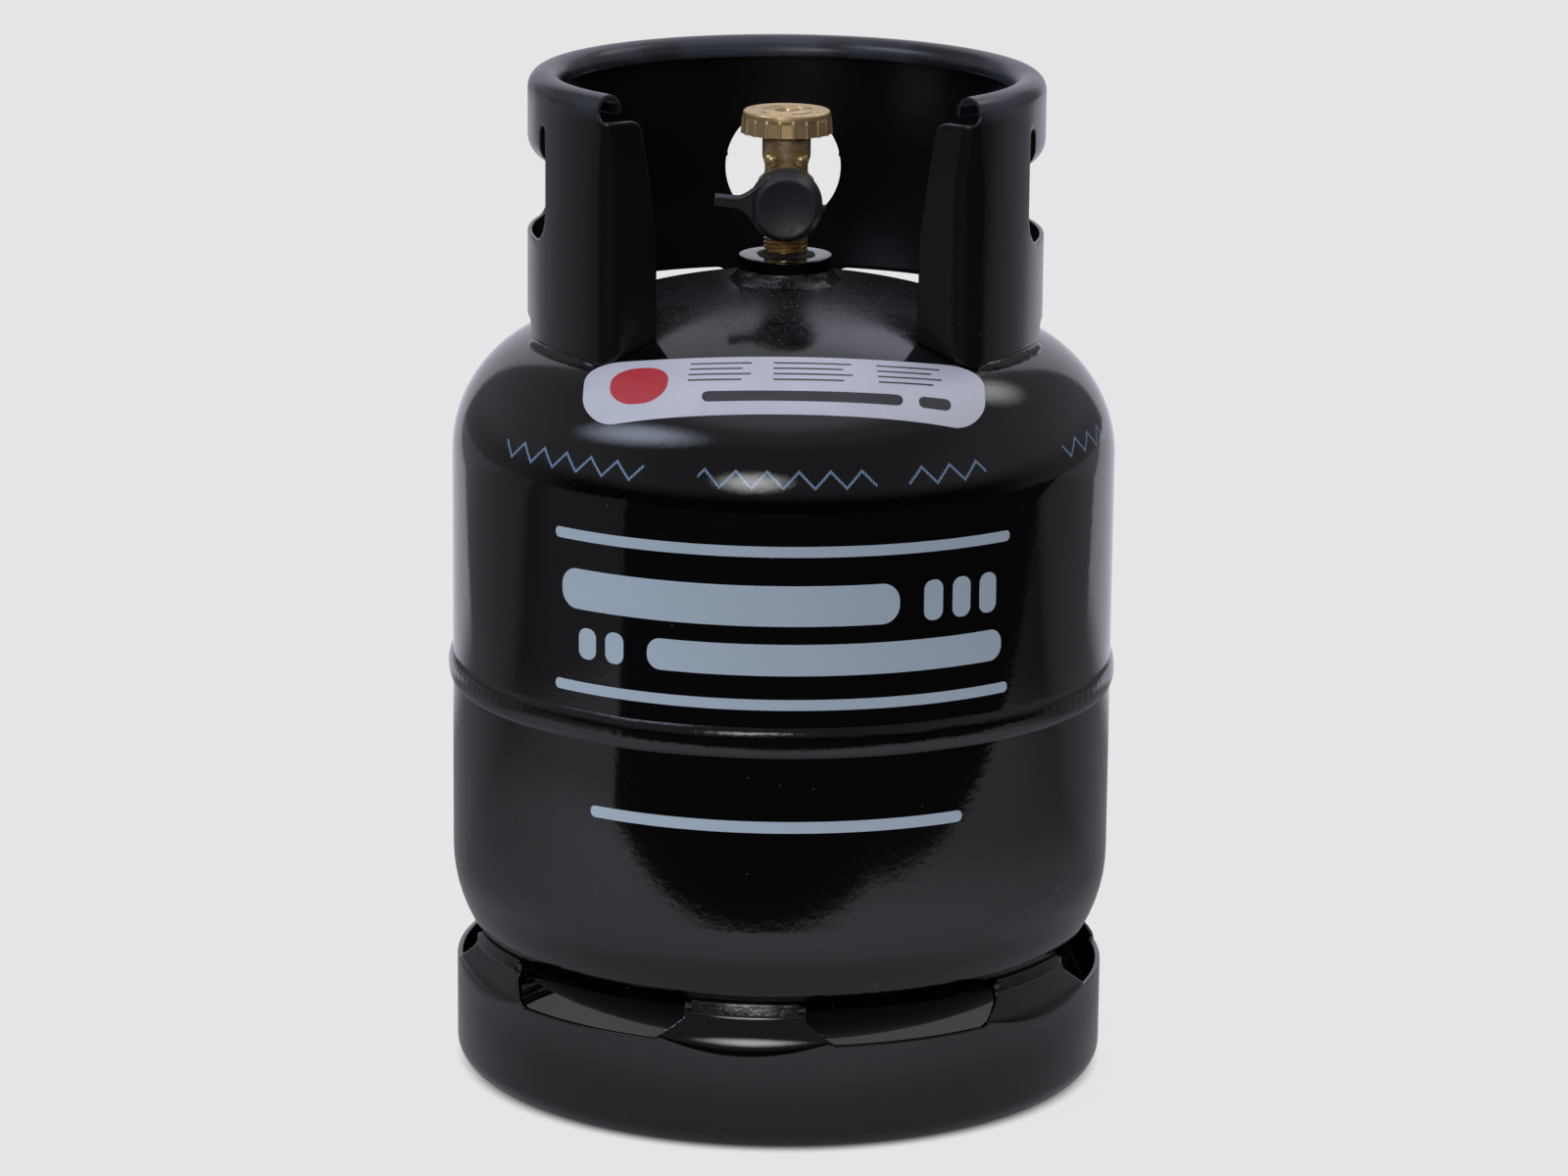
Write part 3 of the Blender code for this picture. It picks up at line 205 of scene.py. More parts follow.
def floor_finish():
    """Pale paper for the eye; where the paint mirrors it, a dim table with a lit wedge behind."""
    material, tree, shader = new_finish("pale_floor")
    place = object_place(tree)
    axes = add_node(tree, "SeparateXYZ", Vector=place).outputs
    across, back = math_node(tree, "ABSOLUTE", axes["X"]), axes["Y"]
    reach = vector_node(tree, "LENGTH", place)
    # The wedge of lit paper starts behind the bottle, between two slanted edges.
    left, right = beyond(tree, place, WEDGE_LEFT), beyond(tree, place, WEDGE_RIGHT)
    inside = fade(tree, math_node(tree, "MINIMUM", left, right), -WEDGE_SOFT, WEDGE_SOFT)
    wedge = math_node(tree, "MULTIPLY", inside, fade(tree, back, 0.50, 0.72))
    # The table is brightest in front; it dims towards the back and far out, and near the foot ring a painted
    # shade darkens it in place of the bottle's shadow.
    table = fade(tree, back, -0.40, 0.25, 0.82, 0.20)
    table = math_node(tree, "ADD", table, fade(tree, back, 0.65, 1.30, 0.0, 0.09))
    spread = vector_node(tree, "LENGTH", vector_node(tree, "ADD", place, SPREAD_SHIFT))
    wide = fade(tree, across, 0.76, 0.94, 1.0, 0.34)
    far = math_node(tree, "MULTIPLY", fade(tree, spread, 0.50, 0.66, 1.0, 0.62), wide)
    far = math_node(tree, "MAXIMUM", far, fade(tree, back, 0.0, 0.25))
    for share in (far, fade(tree, reach, 0.20, 0.28, 0.68, 1.0)):
        table = math_node(tree, "MULTIPLY", table, share)
    # Its light ends at two lines in front of the bottle, and on the left reaches on to a third.
    front, slant = beyond(tree, place, LIGHT_FRONT), beyond(tree, place, LIGHT_SLANT)
    near = math_node(tree, "MINIMUM", front, slant)
    beside = beyond(tree, place, LIGHT_SIDE)
    lit = fade(tree, math_node(tree, "MAXIMUM", near, beside), -LIGHT_SOFT, LIGHT_SOFT)
    mirrored = blend(tree, wedge, math_node(tree, "MULTIPLY", table, lit), WEDGE_TONE)
    # The camera itself sees plain pale paper. Under the bottle the glow, seen and mirrored, drops to a
    # painted shadow.
    seen = add_node(tree, "LightPath").outputs["Is Camera Ray"]
    under_shadow = fade(tree, reach, 0.138, 0.150, RING_SHADE, 1.0)
    strength = math_node(tree, "MULTIPLY", blend(tree, seen, mirrored, PAPER_SEEN), under_shadow)
    emission = add_node(tree, "Emission", Color=mix_colour(tree, seen, COOL, WHITE), Strength=strength)
    paper = add_node(tree, "BsdfDiffuse", Color=PAPER_GREY)
    both = add_node(tree, "AddShader", i0=emission.outputs[0], i1=paper.outputs[0])
    tree.nodes.remove(shader)
    tree.links.new(both.outputs[0], tree.nodes["Material Output"].inputs["Surface"])
    return material


FLOOR_PAPER = floor_finish()
print("paper:", len(FLOOR_PAPER.node_tree.nodes), "nodes")

# %% [markdown]
# The floor itself is one wide face, scaled from a unit grid. It lies a hair below zero, so that it
# doesn't share a plane with the underside of the foot ring, which would flicker.

# %% Floor
FLOOR_FRONT = -3.0
FLOOR_BACK = 6.0
FLOOR_HALF = 4.0
FLOOR_SINK = 0.0002


def mesh_object(name, bm):
    """Turn a bmesh into an object of the scene."""
    mesh = bpy.data.meshes.new(name)
    bm.to_mesh(mesh)
    bm.free()
    return link_object(name, mesh)


def add_floor():
    bm = bmesh.new()
    bmesh.ops.create_grid(bm, x_segments=1, y_segments=1, size=0.5)
    bmesh.ops.scale(bm, verts=bm.verts, vec=(2 * FLOOR_HALF, FLOOR_BACK - FLOOR_FRONT, 1.0))
    bmesh.ops.translate(bm, verts=bm.verts, vec=(0, (FLOOR_BACK + FLOOR_FRONT) / 2, -FLOOR_SINK))
    floor = mesh_object("floor", bm)
    floor.data.materials.append(FLOOR_PAPER)


add_floor()
print("floor:", 2 * FLOOR_HALF, "by", FLOOR_BACK - FLOOR_FRONT, "m")

# %% [markdown]
# Above the floor the paint mirrors the world. It could be a picture of a room, but a few ramps are
# enough: dark towards the camera, dim walls, a brighter ceiling, and behind the bottle a backdrop
# between two slanted edges. Camera rays get an even pale grey instead.

# %% World
PALE = (0.79, 0.79, 0.79, 1.0)
BACKDROP_TONE = 0.72
BACKDROP_SLANT = 0.53


def add_world():
    world = bpy.data.worlds.new("studio")
    bpy.context.scene.world = world
    world.use_nodes = True
    tree = world.node_tree
    way = add_node(tree, "SeparateXYZ", Vector=add_node(tree, "TexCoord").outputs["Generated"]).outputs
    across = math_node(tree, "ABSOLUTE", way["X"])
    inside = math_node(tree, "SUBTRACT", math_node(tree, "MULTIPLY", way["Y"], BACKDROP_SLANT), across)
    low = fade(tree, way["Y"], -0.40, 0.30, 0.01, 0.20)
    walls = fade(tree, across, 0.5, 0.9, 0.24, 0.35)
    room = blend(tree, fade(tree, way["Z"], 0.02, 0.24), low, walls)
    for start, end, tone in ((0.70, 0.92, 0.20), (0.88, 0.97, 0.55)):
        room = math_node(tree, "ADD", room, fade(tree, way["Z"], start, end, 0.0, tone))
    tone = blend(tree, fade(tree, inside, -0.03, 0.03), room, BACKDROP_TONE)
    seen = add_node(tree, "LightPath").outputs["Is Camera Ray"]
    cool = add_node(tree, "VectorMath", {"operation": "SCALE"}, i0=COOL[:3], Scale=tone).outputs["Vector"]
    tree.links.new(mix_colour(tree, seen, cool, PALE), tree.nodes["Background"].inputs["Color"])


add_world()
print("world:", len(bpy.context.scene.world.node_tree.nodes), "nodes")

# %% [markdown]
# Four oval soft boxes light the bottle: a wide one in front, a bluish window on the left, and two
# weak ones behind that pick out the shoulder. A plain area light would be mirrored as a patch with
# a hard edge, so the lamp's own nodes dim it from its middle to its rim.

# %% Lights
AIM = Vector((0.0, 0.0, 0.3))
WINDOW_STRIP = (0.90, -0.42, -0.10)
WINDOW_BLUE = (0.69, 0.79, 1.0)
CEILING_BLUE = (0.72, 0.77, 1.0)


def add_soft_box(name, place, width, height, power, along=(1, 0, 0), colour=(1, 1, 1)):
    """Hang an oval light that faces the bottle, its width laid along a direction, dim at its rim."""
    data = bpy.data.lights.new(name, "AREA")
    data.shape = "ELLIPSE"
    data.size = width
    data.size_y = height
    data.energy = power
    data.color = colour
    data.use_nodes = True
    tree = data.node_tree
    spot = add_node(tree, "NewGeometry").outputs["Parametric"]
    away = vector_node(tree, "SUBTRACT", spot, (0.5, 0.5, 0.0))
    reach = vector_node(tree, "LENGTH", vector_node(tree, "MULTIPLY", away, (1.0, 1.0, 0.0)))
    tree.links.new(fade(tree, reach, 0.5, 0.04), tree.nodes["Emission"].inputs["Strength"])
    back = (Vector(place) - AIM).normalized()
    side = (Vector(along) - back * back.dot(Vector(along))).normalized()
    turn = Matrix((side, back.cross(side), back)).transposed().to_4x4()
    link_object(name, data).matrix_world = Matrix.Translation(place) @ turn


add_soft_box("front_soft_box", (-0.54, -2.92, 1.33), 1.75, 1.20, 44.0)
add_soft_box("window", (-1.53, -0.72, 1.97), 2.20, 1.00, 32.0, WINDOW_STRIP, WINDOW_BLUE)
add_soft_box("right_soft_box", (1.15, 0.87, 1.80), 1.10, 0.95, 7.4)
add_soft_box("top_soft_box", (0.44, 1.70, 2.05), 1.70, 1.10, 2.9, colour=CEILING_BLUE)
bpy.context.scene.view_settings.view_transform = "Standard"
print("soft boxes:", len(bpy.data.lights))

# %% [markdown]
# ## Effects that several finishes share
# Sprayed enamel is never a mirror: it dries with the fine dimples that painters call orange peel,
# and grit falls into it. Castings have a sandy grain. Each effect is a node group with its own
# scale, so the same recipe serves the bottle, the collar and the valve at different sizes. The
# groups read Object coordinates, which stay put when the bottle is turned or moved.

# %% Node groups for peel, grit and bars
def new_group(name, inputs, output):
    """Open a node group with one output; return its tree, the sockets given and its last node."""
    tree = bpy.data.node_groups.new(name, "ShaderNodeTree")
    for label, value in inputs.items():
        kind = "NodeSocketVector" if isinstance(value, tuple) else "NodeSocketFloat"
        tree.interface.new_socket(label, in_out="INPUT", socket_type=kind).default_value = value
    tree.interface.new_socket(output, in_out="OUTPUT", socket_type="NodeSocketFloat")
    return tree, tree.nodes.new("NodeGroupInput").outputs, tree.nodes.new("NodeGroupOutput")


def peel_group():
    """Dimples of sprayed paint: broad waves with finer ones on top."""
    tree, given, result = new_group("spray_peel", {"Scale": 260.0, "Fine": 0.15}, "Height")
    place = object_place(tree)
    broad = noise_node(tree, place, given["Scale"], 1.0)
    fine = noise_node(tree, place, math_node(tree, "MULTIPLY", given["Scale"], 3.7), 2.0)
    share = math_node(tree, "MULTIPLY", fine, given["Fine"])
    tree.links.new(math_node(tree, "ADD", broad, share), result.inputs["Height"])
    return tree


def grit_group():
    """Specks: one in some of the cells of a fine pattern, the rest clean."""
    tree, given, result = new_group("grit", {"Scale": 400.0, "Size": 0.12, "Share": 0.1}, "Mask")
    cells = add_node(tree, "TexVoronoi", Vector=object_place(tree), Scale=given["Scale"])
    spot = math_node(tree, "LESS_THAN", cells.outputs["Distance"], given["Size"])
    pick = add_node(tree, "SeparateColor", Color=cells.outputs["Color"]).outputs[0]
    chosen = math_node(tree, "LESS_THAN", pick, given["Share"])
    tree.links.new(math_node(tree, "MULTIPLY", spot, chosen), result.inputs["Mask"])
    return tree


def grain_group():
    """Sandy grain of a casting: small lumps with sharp pits between them."""
    tree, given, result = new_group("cast_grain", {"Scale": 900.0, "Pits": 0.5}, "Height")
    place = object_place(tree)
    lumps = noise_node(tree, place, given["Scale"], 4.0, 0.62)
    cells = add_node(tree, "TexVoronoi", Vector=place, Scale=given["Scale"])
    pits = math_node(tree, "MULTIPLY", cells.outputs["Distance"], given["Pits"])
    tree.links.new(math_node(tree, "ADD", lumps, pits), result.inputs["Height"])
    return tree


def bar_group():
    """Mask of one printed bar with round corners on an unrolled surface."""
    sockets = {"Point": (0, 0, 0), "Centre": (0, 0, 0), "Half": (0.02, 0.004, 0), "Corner": 0.002}
    tree, given, result = new_group("printed_bar", sockets, "Mask")
    away = vector_node(tree, "ABSOLUTE", vector_node(tree, "SUBTRACT", given["Point"], given["Centre"]))
    corner = add_node(tree, "CombineXYZ", X=given["Corner"], Y=given["Corner"]).outputs[0]
    grown = vector_node(tree, "ADD", vector_node(tree, "SUBTRACT", away, given["Half"]), corner)
    clipped = vector_node(tree, "MAXIMUM", grown, (0, 0, -1))
    reach = vector_node(tree, "LENGTH", vector_node(tree, "MULTIPLY", clipped, (1, 1, 0)))
    tree.links.new(math_node(tree, "LESS_THAN", reach, given["Corner"]), result.inputs["Mask"])
    return tree


GROUPS = {tree.name: tree for tree in (peel_group(), grit_group(), grain_group(), bar_group())}


def place_group(tree, name, **sockets):
    """Put one of the groups into a material and return its output."""
    item = add_node(tree, "Group", {"node_tree": GROUPS[name]}, **sockets)
    return item.outputs[0]


print("node groups:", ", ".join(GROUPS))

# %% [markdown]
# ## Sizes that the skins share
# The shells are dished heads: a wide crown, a tighter knuckle and a straight wall. Where a packed
# node's box gives a size, it is read from there; the radii inside an outline can't be read from a
# box, so they are written down. One function gives the height of a head at any radius, because the
# collar, the welds and the label all have to sit on it.

# %% Sizes of the bottle
BODY_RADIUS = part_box("upper_shell")[1].x
SEAM_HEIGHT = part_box("upper_shell")[0].z
GROUND_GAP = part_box("lower_shell")[0].z
SHELL_WALL = 2.0 * MM
CROWN_RADIUS = 271 * MM
UPPER_KNUCKLE = 58 * MM
LOWER_KNUCKLE = 66 * MM
STRAIGHT = 184 * MM
CLEAR = 0.1 * MM
MERGE = 0.005 * MM


def head_centres(knuckle):
    """Radius of the knuckle's centre, and how far the crown's centre lies below the tangent line."""
    ring = BODY_RADIUS - knuckle
    return ring, math.sqrt((CROWN_RADIUS - knuckle) ** 2 - ring ** 2)


def head_height(radius, knuckle):
    """Height of a dished head above its tangent line."""
    ring, drop = head_centres(knuckle)
    if radius > ring + knuckle * math.cos(math.atan2(drop, ring)):
        return math.sqrt(max(knuckle ** 2 - (radius - ring) ** 2, 0.0))
    return math.sqrt(CROWN_RADIUS ** 2 - radius ** 2) - drop


LOWER_TANGENT = GROUND_GAP + head_height(0.0, LOWER_KNUCKLE)
UPPER_TANGENT = LOWER_TANGENT + STRAIGHT


def dome_height(radius):
    return UPPER_TANGENT + head_height(radius, UPPER_KNUCKLE)


def shell_radius(height):
    """Outer radius of the lower head at a height above the floor."""
    below = LOWER_TANGENT - height
    return BODY_RADIUS - LOWER_KNUCKLE + math.sqrt(LOWER_KNUCKLE ** 2 - below ** 2)


print("dome top at", round(dome_height(0.0) / MM, 1), "mm")

# %% [markdown]
# ## Outlines
# Nearly every piece starts as an outline, a list of points in a plane. Corners of pressed, forged
# and moulded parts are never quite sharp, so a helper puts a round of a given radius in each. A
# bevel on the finished mesh would do the same, but less evenly. Turns round the bottle are counted
# from its front.

# %% Outline helpers
UPRIGHT = Vector((0.0, 0.0, 1.0))


def outward(turn):
    """Direction away from the axis, at a turn counted from the front."""
    return Vector((math.sin(turn), -math.cos(turn), 0.0))


def clamped(share):
    return min(max(share, 0.0), 1.0)


def arc(centre, radius, start, end, steps):
    """Points of a round stretch; angles in degrees, counted from the first axis."""
    turns = [math.radians(start + (end - start) * step / steps) for step in range(steps + 1)]
    return [(centre[0] + radius * math.cos(turn), centre[1] + radius * math.sin(turn)) for turn in turns]


def rounded(corners, radii, steps=5, closed=True):
    """Outline through corners, with a round of the given radius at each."""
    outline = []
    count = len(corners)
    for index, (corner, radius) in enumerate(zip(corners, radii)):
        here = Vector(corner)
        if radius == 0.0 or (not closed and index in (0, count - 1)):
            outline.append(tuple(here))
            continue
        back = (Vector(corners[index - 1]) - here).normalized()
        ahead = (Vector(corners[(index + 1) % count]) - here).normalized()
        half = back.angle(ahead) / 2
        middle = here + (back + ahead).normalized() * radius / math.sin(half)
        first = here + back * radius / math.tan(half) - middle
        last = here + ahead * radius / math.tan(half) - middle
        sweep = first.angle_signed(last)
        for step in range(steps + 1):
            outline.append(tuple(middle + Matrix.Rotation(-sweep * step / steps, 2) @ first))
    return outline


print("outline helpers ready")

# %% [markdown]
# ## Turned and finished pieces
# Most pieces of a bottle are turned: an outline is drawn beside the axis and spun once round it.
# A full spin needs use_merge, or a seam stays open where the last step meets the first, and its
# normals are recalculated because a spin can leave them pointing inwards. The other helpers make
# the object, shade it smooth with sharp edges kept, and tie it to the body it moves with.

# %% Mesh helpers
def turned(outline, steps):
    """Spin a closed outline of (radius, height) points once round the upright axis."""
    bm = bmesh.new()
    verts = [bm.verts.new((radius, 0.0, height)) for radius, height in outline]
    edges = [bm.edges.new(pair) for pair in zip(verts, verts[1:] + verts[:1])]
    bmesh.ops.spin(
        bm, geom=verts + edges, cent=(0, 0, 0), axis=UPRIGHT, angle=2 * math.pi, steps=steps,
        use_merge=True)
    bmesh.ops.remove_doubles(bm, verts=bm.verts, dist=MERGE)
    bmesh.ops.recalc_face_normals(bm, faces=bm.faces)
    return bm


def add_piece(name, bm, finish, nodes=(), body="bottle", sharp=38.0):
    """Make the object, shade it, tie it to its body, and hide the nodes it stands for."""
    piece = mesh_object(name, bm)
    piece.data.shade_smooth()
    piece.data.set_sharp_from_angle(angle=math.radians(sharp))
    piece.data.materials.append(finish)
    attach(piece, body)
    if nodes:
        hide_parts(*nodes)
    print(name, "has", len(piece.data.polygons), "faces")
    return piece


def add_steel(name, bm, finish, node, sharp=38.0):
    """A painted piece of the bottle itself, in place of one node."""
    return add_piece(name, bm, finish, [node], sharp=sharp)


print("mesh helpers ready")

# %% [markdown]
# ## Black enamel
# The bottle is dipped in spray: a deep black gloss whose dimples break the edges of every
# reflection. Roughness drifts a little from place to place, a few specks of grit lie in it, and
# near the neck the spray fell dry, so the dome there is greyer and grainier. The foot ring carries
# the same gloss; the collar, sprayed from all sides at once, came out satin. Along the top of its
# rolled rim a painted sheen lightens it to a bluish grey in streaks, where hands have also rubbed it
# rougher. One function makes all.

# %% Enamel finishes
GRIT_GREY = (0.05, 0.05, 0.055, 1.0)
DRY_GREY = (0.052, 0.052, 0.058, 1.0)
DUST_GREY = (0.15, 0.15, 0.17, 1.0)
# Lighter bluish grey for the painted sheen on top of the collar's rolled rim.
SHEEN_AND_RUB_GREY = (0.046, 0.051, 0.068, 1.0)
SHEEN_RUB_FADE = 6 * MM
SHEEN_RUB_DEPTH = 13 * MM
COLLAR_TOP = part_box("collar")[1].z


def enamel(name, rough, peel_scale, peel_depth, tone=0.0010, dry_radius=0.0, sheen_rub_above=0.0):
    material, tree, shader = new_finish(name)
    place = object_place(tree)
    axes = add_node(tree, "SeparateXYZ", Vector=place).outputs
    drift = noise_node(tree, place, 9.0, 3.0)
    height = place_group(tree, "spray_peel", Scale=peel_scale)
    grit = place_group(tree, "grit", Scale=210.0, Size=0.10, Share=0.05)
    colour = mix_colour(tree, grit, (tone, tone, tone * 1.15, 1.0), GRIT_GREY)
    roughness = fade(tree, drift, 0.3, 0.7, rough * 0.85, rough * 1.2)
    if dry_radius:
        reach = vector_node(tree, "LENGTH", vector_node(tree, "MULTIPLY", place, (1.0, 1.0, 0.0)))
        ragged = math_node(tree, "MULTIPLY", noise_node(tree, place, 60.0, 4.0), 0.05)
        near = fade(tree, math_node(tree, "ADD", reach, ragged), dry_radius * 1.25, dry_radius * 0.7)
        dry = math_node(tree, "MULTIPLY", near, math_node(tree, "GREATER_THAN", axes["Z"], UPPER_TANGENT))
        grain = place_group(tree, "cast_grain", Scale=1100.0, Pits=0.2)
        dust = place_group(tree, "grit", Scale=760.0, Size=0.30, Share=0.30)
        for mask, grey in ((fade(tree, grain, 0.52, 0.78), DRY_GREY), (dust, DUST_GREY)):
            colour = mix_colour(tree, math_node(tree, "MULTIPLY", mask, dry), colour, grey)
        roughness = math_node(tree, "ADD", roughness, math_node(tree, "MULTIPLY", dry, 0.22))
        lumps = math_node(tree, "MULTIPLY", grain, math_node(tree, "MULTIPLY", dry, 0.5))
        height = math_node(tree, "ADD", height, lumps)
    # Painted sheen: the top of the collar's rolled rim turns a lighter bluish grey in streaks, in place of
    # light from above; the added roughness is rubbed wear.
    if sheen_rub_above:
        streaks = fade(tree, noise_node(tree, place, 26.0, 3.0), 0.38, 0.64, 0.2, 1.0)
        rim_top = fade(tree, axes["Z"], sheen_rub_above, sheen_rub_above + SHEEN_RUB_FADE)
        sheen_rub = math_node(tree, "MULTIPLY", streaks, rim_top)
        colour = mix_colour(tree, sheen_rub, colour, SHEEN_AND_RUB_GREY)
        roughness = math_node(tree, "ADD", roughness, math_node(tree, "MULTIPLY", sheen_rub, 0.12))
    set_surface(tree, shader, colour, roughness, height, peel_depth)
    shader.inputs["IOR"].default_value = 1.5
    return material


BOTTLE_ENAMEL = enamel("bottle_enamel", 0.07, 300.0, 0.026 * MM, dry_radius=105 * MM)
LOWER_ENAMEL = enamel("lower_enamel", 0.07, 300.0, 0.026 * MM)
COLLAR_ENAMEL = enamel(
    "collar_enamel", 0.23, 420.0, 0.02 * MM, tone=0.005, sheen_rub_above=COLLAR_TOP - SHEEN_RUB_DEPTH)
FOOT_ENAMEL = enamel("foot_enamel", 0.07, 420.0, 0.012 * MM)
WELD_ENAMEL = enamel("weld_enamel", 0.13, 600.0, 0.06 * MM)
print("enamel finishes ready")

# %% [markdown]
# ## The two shells
# A bottle this size is two deep-drawn cups, slipped one into the other and welded round the
# middle. Each is one outline spun in fine steps, with its inner wall, so it is a real shell and
# not a skin. Arcs give the crown and the knuckle; the straight wall needs only its two ends.

# %% Upper and lower shell
SHELL_STEPS = 240
BOSS_HOLE = 17.1 * MM


def head_outline(knuckle, offset, hole):
    """Arc points of a dished head from the rim inwards, moved out by an offset."""
    ring, drop = head_centres(knuckle)
    joint = math.degrees(math.atan2(drop, ring))
    top = math.degrees(math.acos(hole / (CROWN_RADIUS + offset)))
    knuckle_arc = arc((ring, 0.0), knuckle + offset, 0.0, joint, 14)
    crown_arc = arc((0.0, -drop), CROWN_RADIUS + offset, joint, top, 18)
    return knuckle_arc + crown_arc[1:]


def shell_outline(knuckle, tangent, direction, hole):
    skins = []
    for offset in (0.0, -SHELL_WALL):
        head = head_outline(knuckle, offset, hole)
        rim = [(head[0][0], SEAM_HEIGHT)]
        skins.append(rim + [(radius, tangent + direction * height) for radius, height in head])
    return skins[0] + skins[1][::-1]


upper_outline = shell_outline(UPPER_KNUCKLE, UPPER_TANGENT, 1.0, BOSS_HOLE)
lower_outline = shell_outline(LOWER_KNUCKLE, LOWER_TANGENT, -1.0, 0.0)
add_steel("upper_shell_skin", turned(upper_outline, SHELL_STEPS), BOTTLE_ENAMEL, "upper_shell")
add_steel("lower_shell_skin", turned(lower_outline, SHELL_STEPS), LOWER_ENAMEL, "lower_shell")

# %% [markdown]
# ## The round seam
# The seam weld is a low, wide bead with soft ripples where the machine's arc moved on. The bead is
# spun like the shells, then its points are pushed in and out a little. The push comes from noise
# read on a circle, so it meets itself after one turn without a step.

# %% Seam weld
SEAM_WIDTH = 13.6 * MM
SEAM_PROUD = 1.9 * MM
SEAM_SINK = 0.4 * MM
SEAM_RIPPLES = 150


def lumpy(bm, amount, detail):
    """Push points along their normals by noise read at their own place."""
    bm.normal_update()
    for vert in bm.verts:
        push = noise.noise(vert.co * detail) + 0.4 * noise.noise(vert.co * detail * 2.7)
        vert.co += vert.normal * push * amount


def seam_bead():
    half = SEAM_WIDTH / 2
    root = BODY_RADIUS - SEAM_SINK
    shares = [-1.0 + step / 6 for step in range(13)]
    crown = [(BODY_RADIUS + SEAM_PROUD * (1 - share ** 2) ** 0.75, SEAM_HEIGHT + half * share)
             for share in shares]
    bm = turned([(root, SEAM_HEIGHT - half)] + crown + [(root, SEAM_HEIGHT + half)], 2 * SHELL_STEPS)
    for vert in bm.verts:
        turn = math.atan2(vert.co.y, vert.co.x)
        proud = max(vert.co.xy.length - BODY_RADIUS, 0.0)
        wave = 0.04 * math.sin(turn * SEAM_RIPPLES) + 0.16 * noise.noise(vert.co * 55.0)
        vert.co.xy *= 1.0 + proud * wave / BODY_RADIUS
        vert.co.z += 0.5 * MM * noise.noise(Vector((vert.co.x, vert.co.y, 0.0)) * 24.0)
    return bm


add_steel("seam_bead", seam_bead(), WELD_ENAMEL, "seam_weld")

# %% [markdown]
# ## Bending sheet metal
# The collar and the foot ring are pressed from flat sheet: a strip is cut to its outline, its
# holes are punched, and only then is it bent. The same order works in Blender. A flat plate gets
# rows and columns of faces, closer where it will bend tightly; cutters punch it; a small bevel
# rounds the cut edges; and at the end a function moves every point to its bent place. Cutting a
# bent sheet would also work, but flat outlines are easier to draw and the edges come out cleaner.

# %% Plate and punch helpers
def stations(*marks):
    """Places along a strip: each mark is a place and the step from there to the next mark."""
    places = []
    for (start, step), (end, _) in zip(marks, marks[1:]):
        count = max(round((end - start) / step), 1)
        places += [start + (end - start) * index / count for index in range(count)]
    return places + [marks[-1][0]]


def new_points(grown):
    """The points among what an operator has made."""
    return [part for part in grown["geom"] if isinstance(part, bmesh.types.BMVert)]


def extrude(bm, faces, shift):
    """Extrude faces straight along the third axis."""
    grown = bmesh.ops.extrude_face_region(bm, geom=faces)
    bmesh.ops.translate(bm, verts=new_points(grown), vec=(0, 0, shift))


def plate(columns, rows, thickness):
    """Flat plate with its outer face at height zero, divided at the given columns and rows."""
    bm = bmesh.new()
    bmesh.ops.create_grid(bm, x_segments=len(columns) - 1, y_segments=len(rows) - 1, size=0.5)
    for vert in bm.verts:
        column = round((vert.co.x + 0.5) * (len(columns) - 1))
        row = round((vert.co.y + 0.5) * (len(rows) - 1))
        vert.co = (columns[column], rows[row], 0.0)
    extrude(bm, bm.faces[:], -thickness)
    bmesh.ops.recalc_face_normals(bm, faces=bm.faces)
    return bm


def add_punch(bm, outline, depth):
    """Add a prism to a set of cutters, standing well out of both faces of the plate."""
    face = bm.faces.new([bm.verts.new((x, y, -depth)) for x, y in outline])
    extrude(bm, [face], 2 * depth)


print("plate helpers ready")

# %% [markdown]
# The cut itself is Blender's boolean modifier with its exact solver, which also copes with faces
# that lie on each other. The modified mesh is read back through the dependency graph, and the
# helper objects are deleted. A cut leaves points that nearly coincide, so they are merged before
# the bevel, which would otherwise spread into spikes.

# %% Cut, join and edge helpers
EDGE_ROUND = 0.55 * MM
CUT_MERGE = 0.12 * MM


def taken_up(*items):
    """Bmesh of the first object with its modifiers applied; the objects are deleted."""
    bm = bmesh.new()
    bm.from_object(items[0], bpy.context.evaluated_depsgraph_get())
    for item in items:
        mesh = item.data
        bpy.data.objects.remove(item)
        bpy.data.meshes.remove(mesh)
    return bm


def combine(bm, other, operation):
    """Join, cut or cross one bmesh with another and return the result."""
    for part in (bm, other):
        bmesh.ops.recalc_face_normals(part, faces=part.faces)
    blank, tool = mesh_object("workpiece", bm), mesh_object("workpiece", other)
    step = blank.modifiers.new("combine", "BOOLEAN")
    step.operation = operation
    step.object = tool
    step.solver = "EXACT"
    return taken_up(blank, tool)


def punched(columns, rows, sheet, punches):
    """Plate with its outline and holes cut, and stray points of the cut merged."""
    bm = combine(plate(columns, rows, sheet), punches, "DIFFERENCE")
    bmesh.ops.remove_doubles(bm, verts=bm.verts, dist=CUT_MERGE)
    return bm


def round_edges(bm, size, angle=55.0, segments=2):
    """Bevel every edge whose faces meet more sharply than an angle."""
    limit = math.radians(angle)
    sharp = [edge for edge in bm.edges if len(edge.link_faces) == 2 and edge.calc_face_angle() > limit]
    bmesh.ops.bevel(
        bm, geom=sharp, offset=size, offset_type="OFFSET", affect="EDGES", segments=segments,
        profile=0.5, material=-1, clamp_overlap=False)


print("cut helpers ready")

# %% [markdown]
# ## The guard collar
# The collar is what hands carry: a tall sheet bent round, its top edge rolled over inwards, its
# front ends turned in towards the valve, a grip hole on each side whose flap is curled inwards so
# that fingers meet no edge, and a round hole at the back. On the flat strip the middle of the back
# is at zero and the height is counted from the dome.

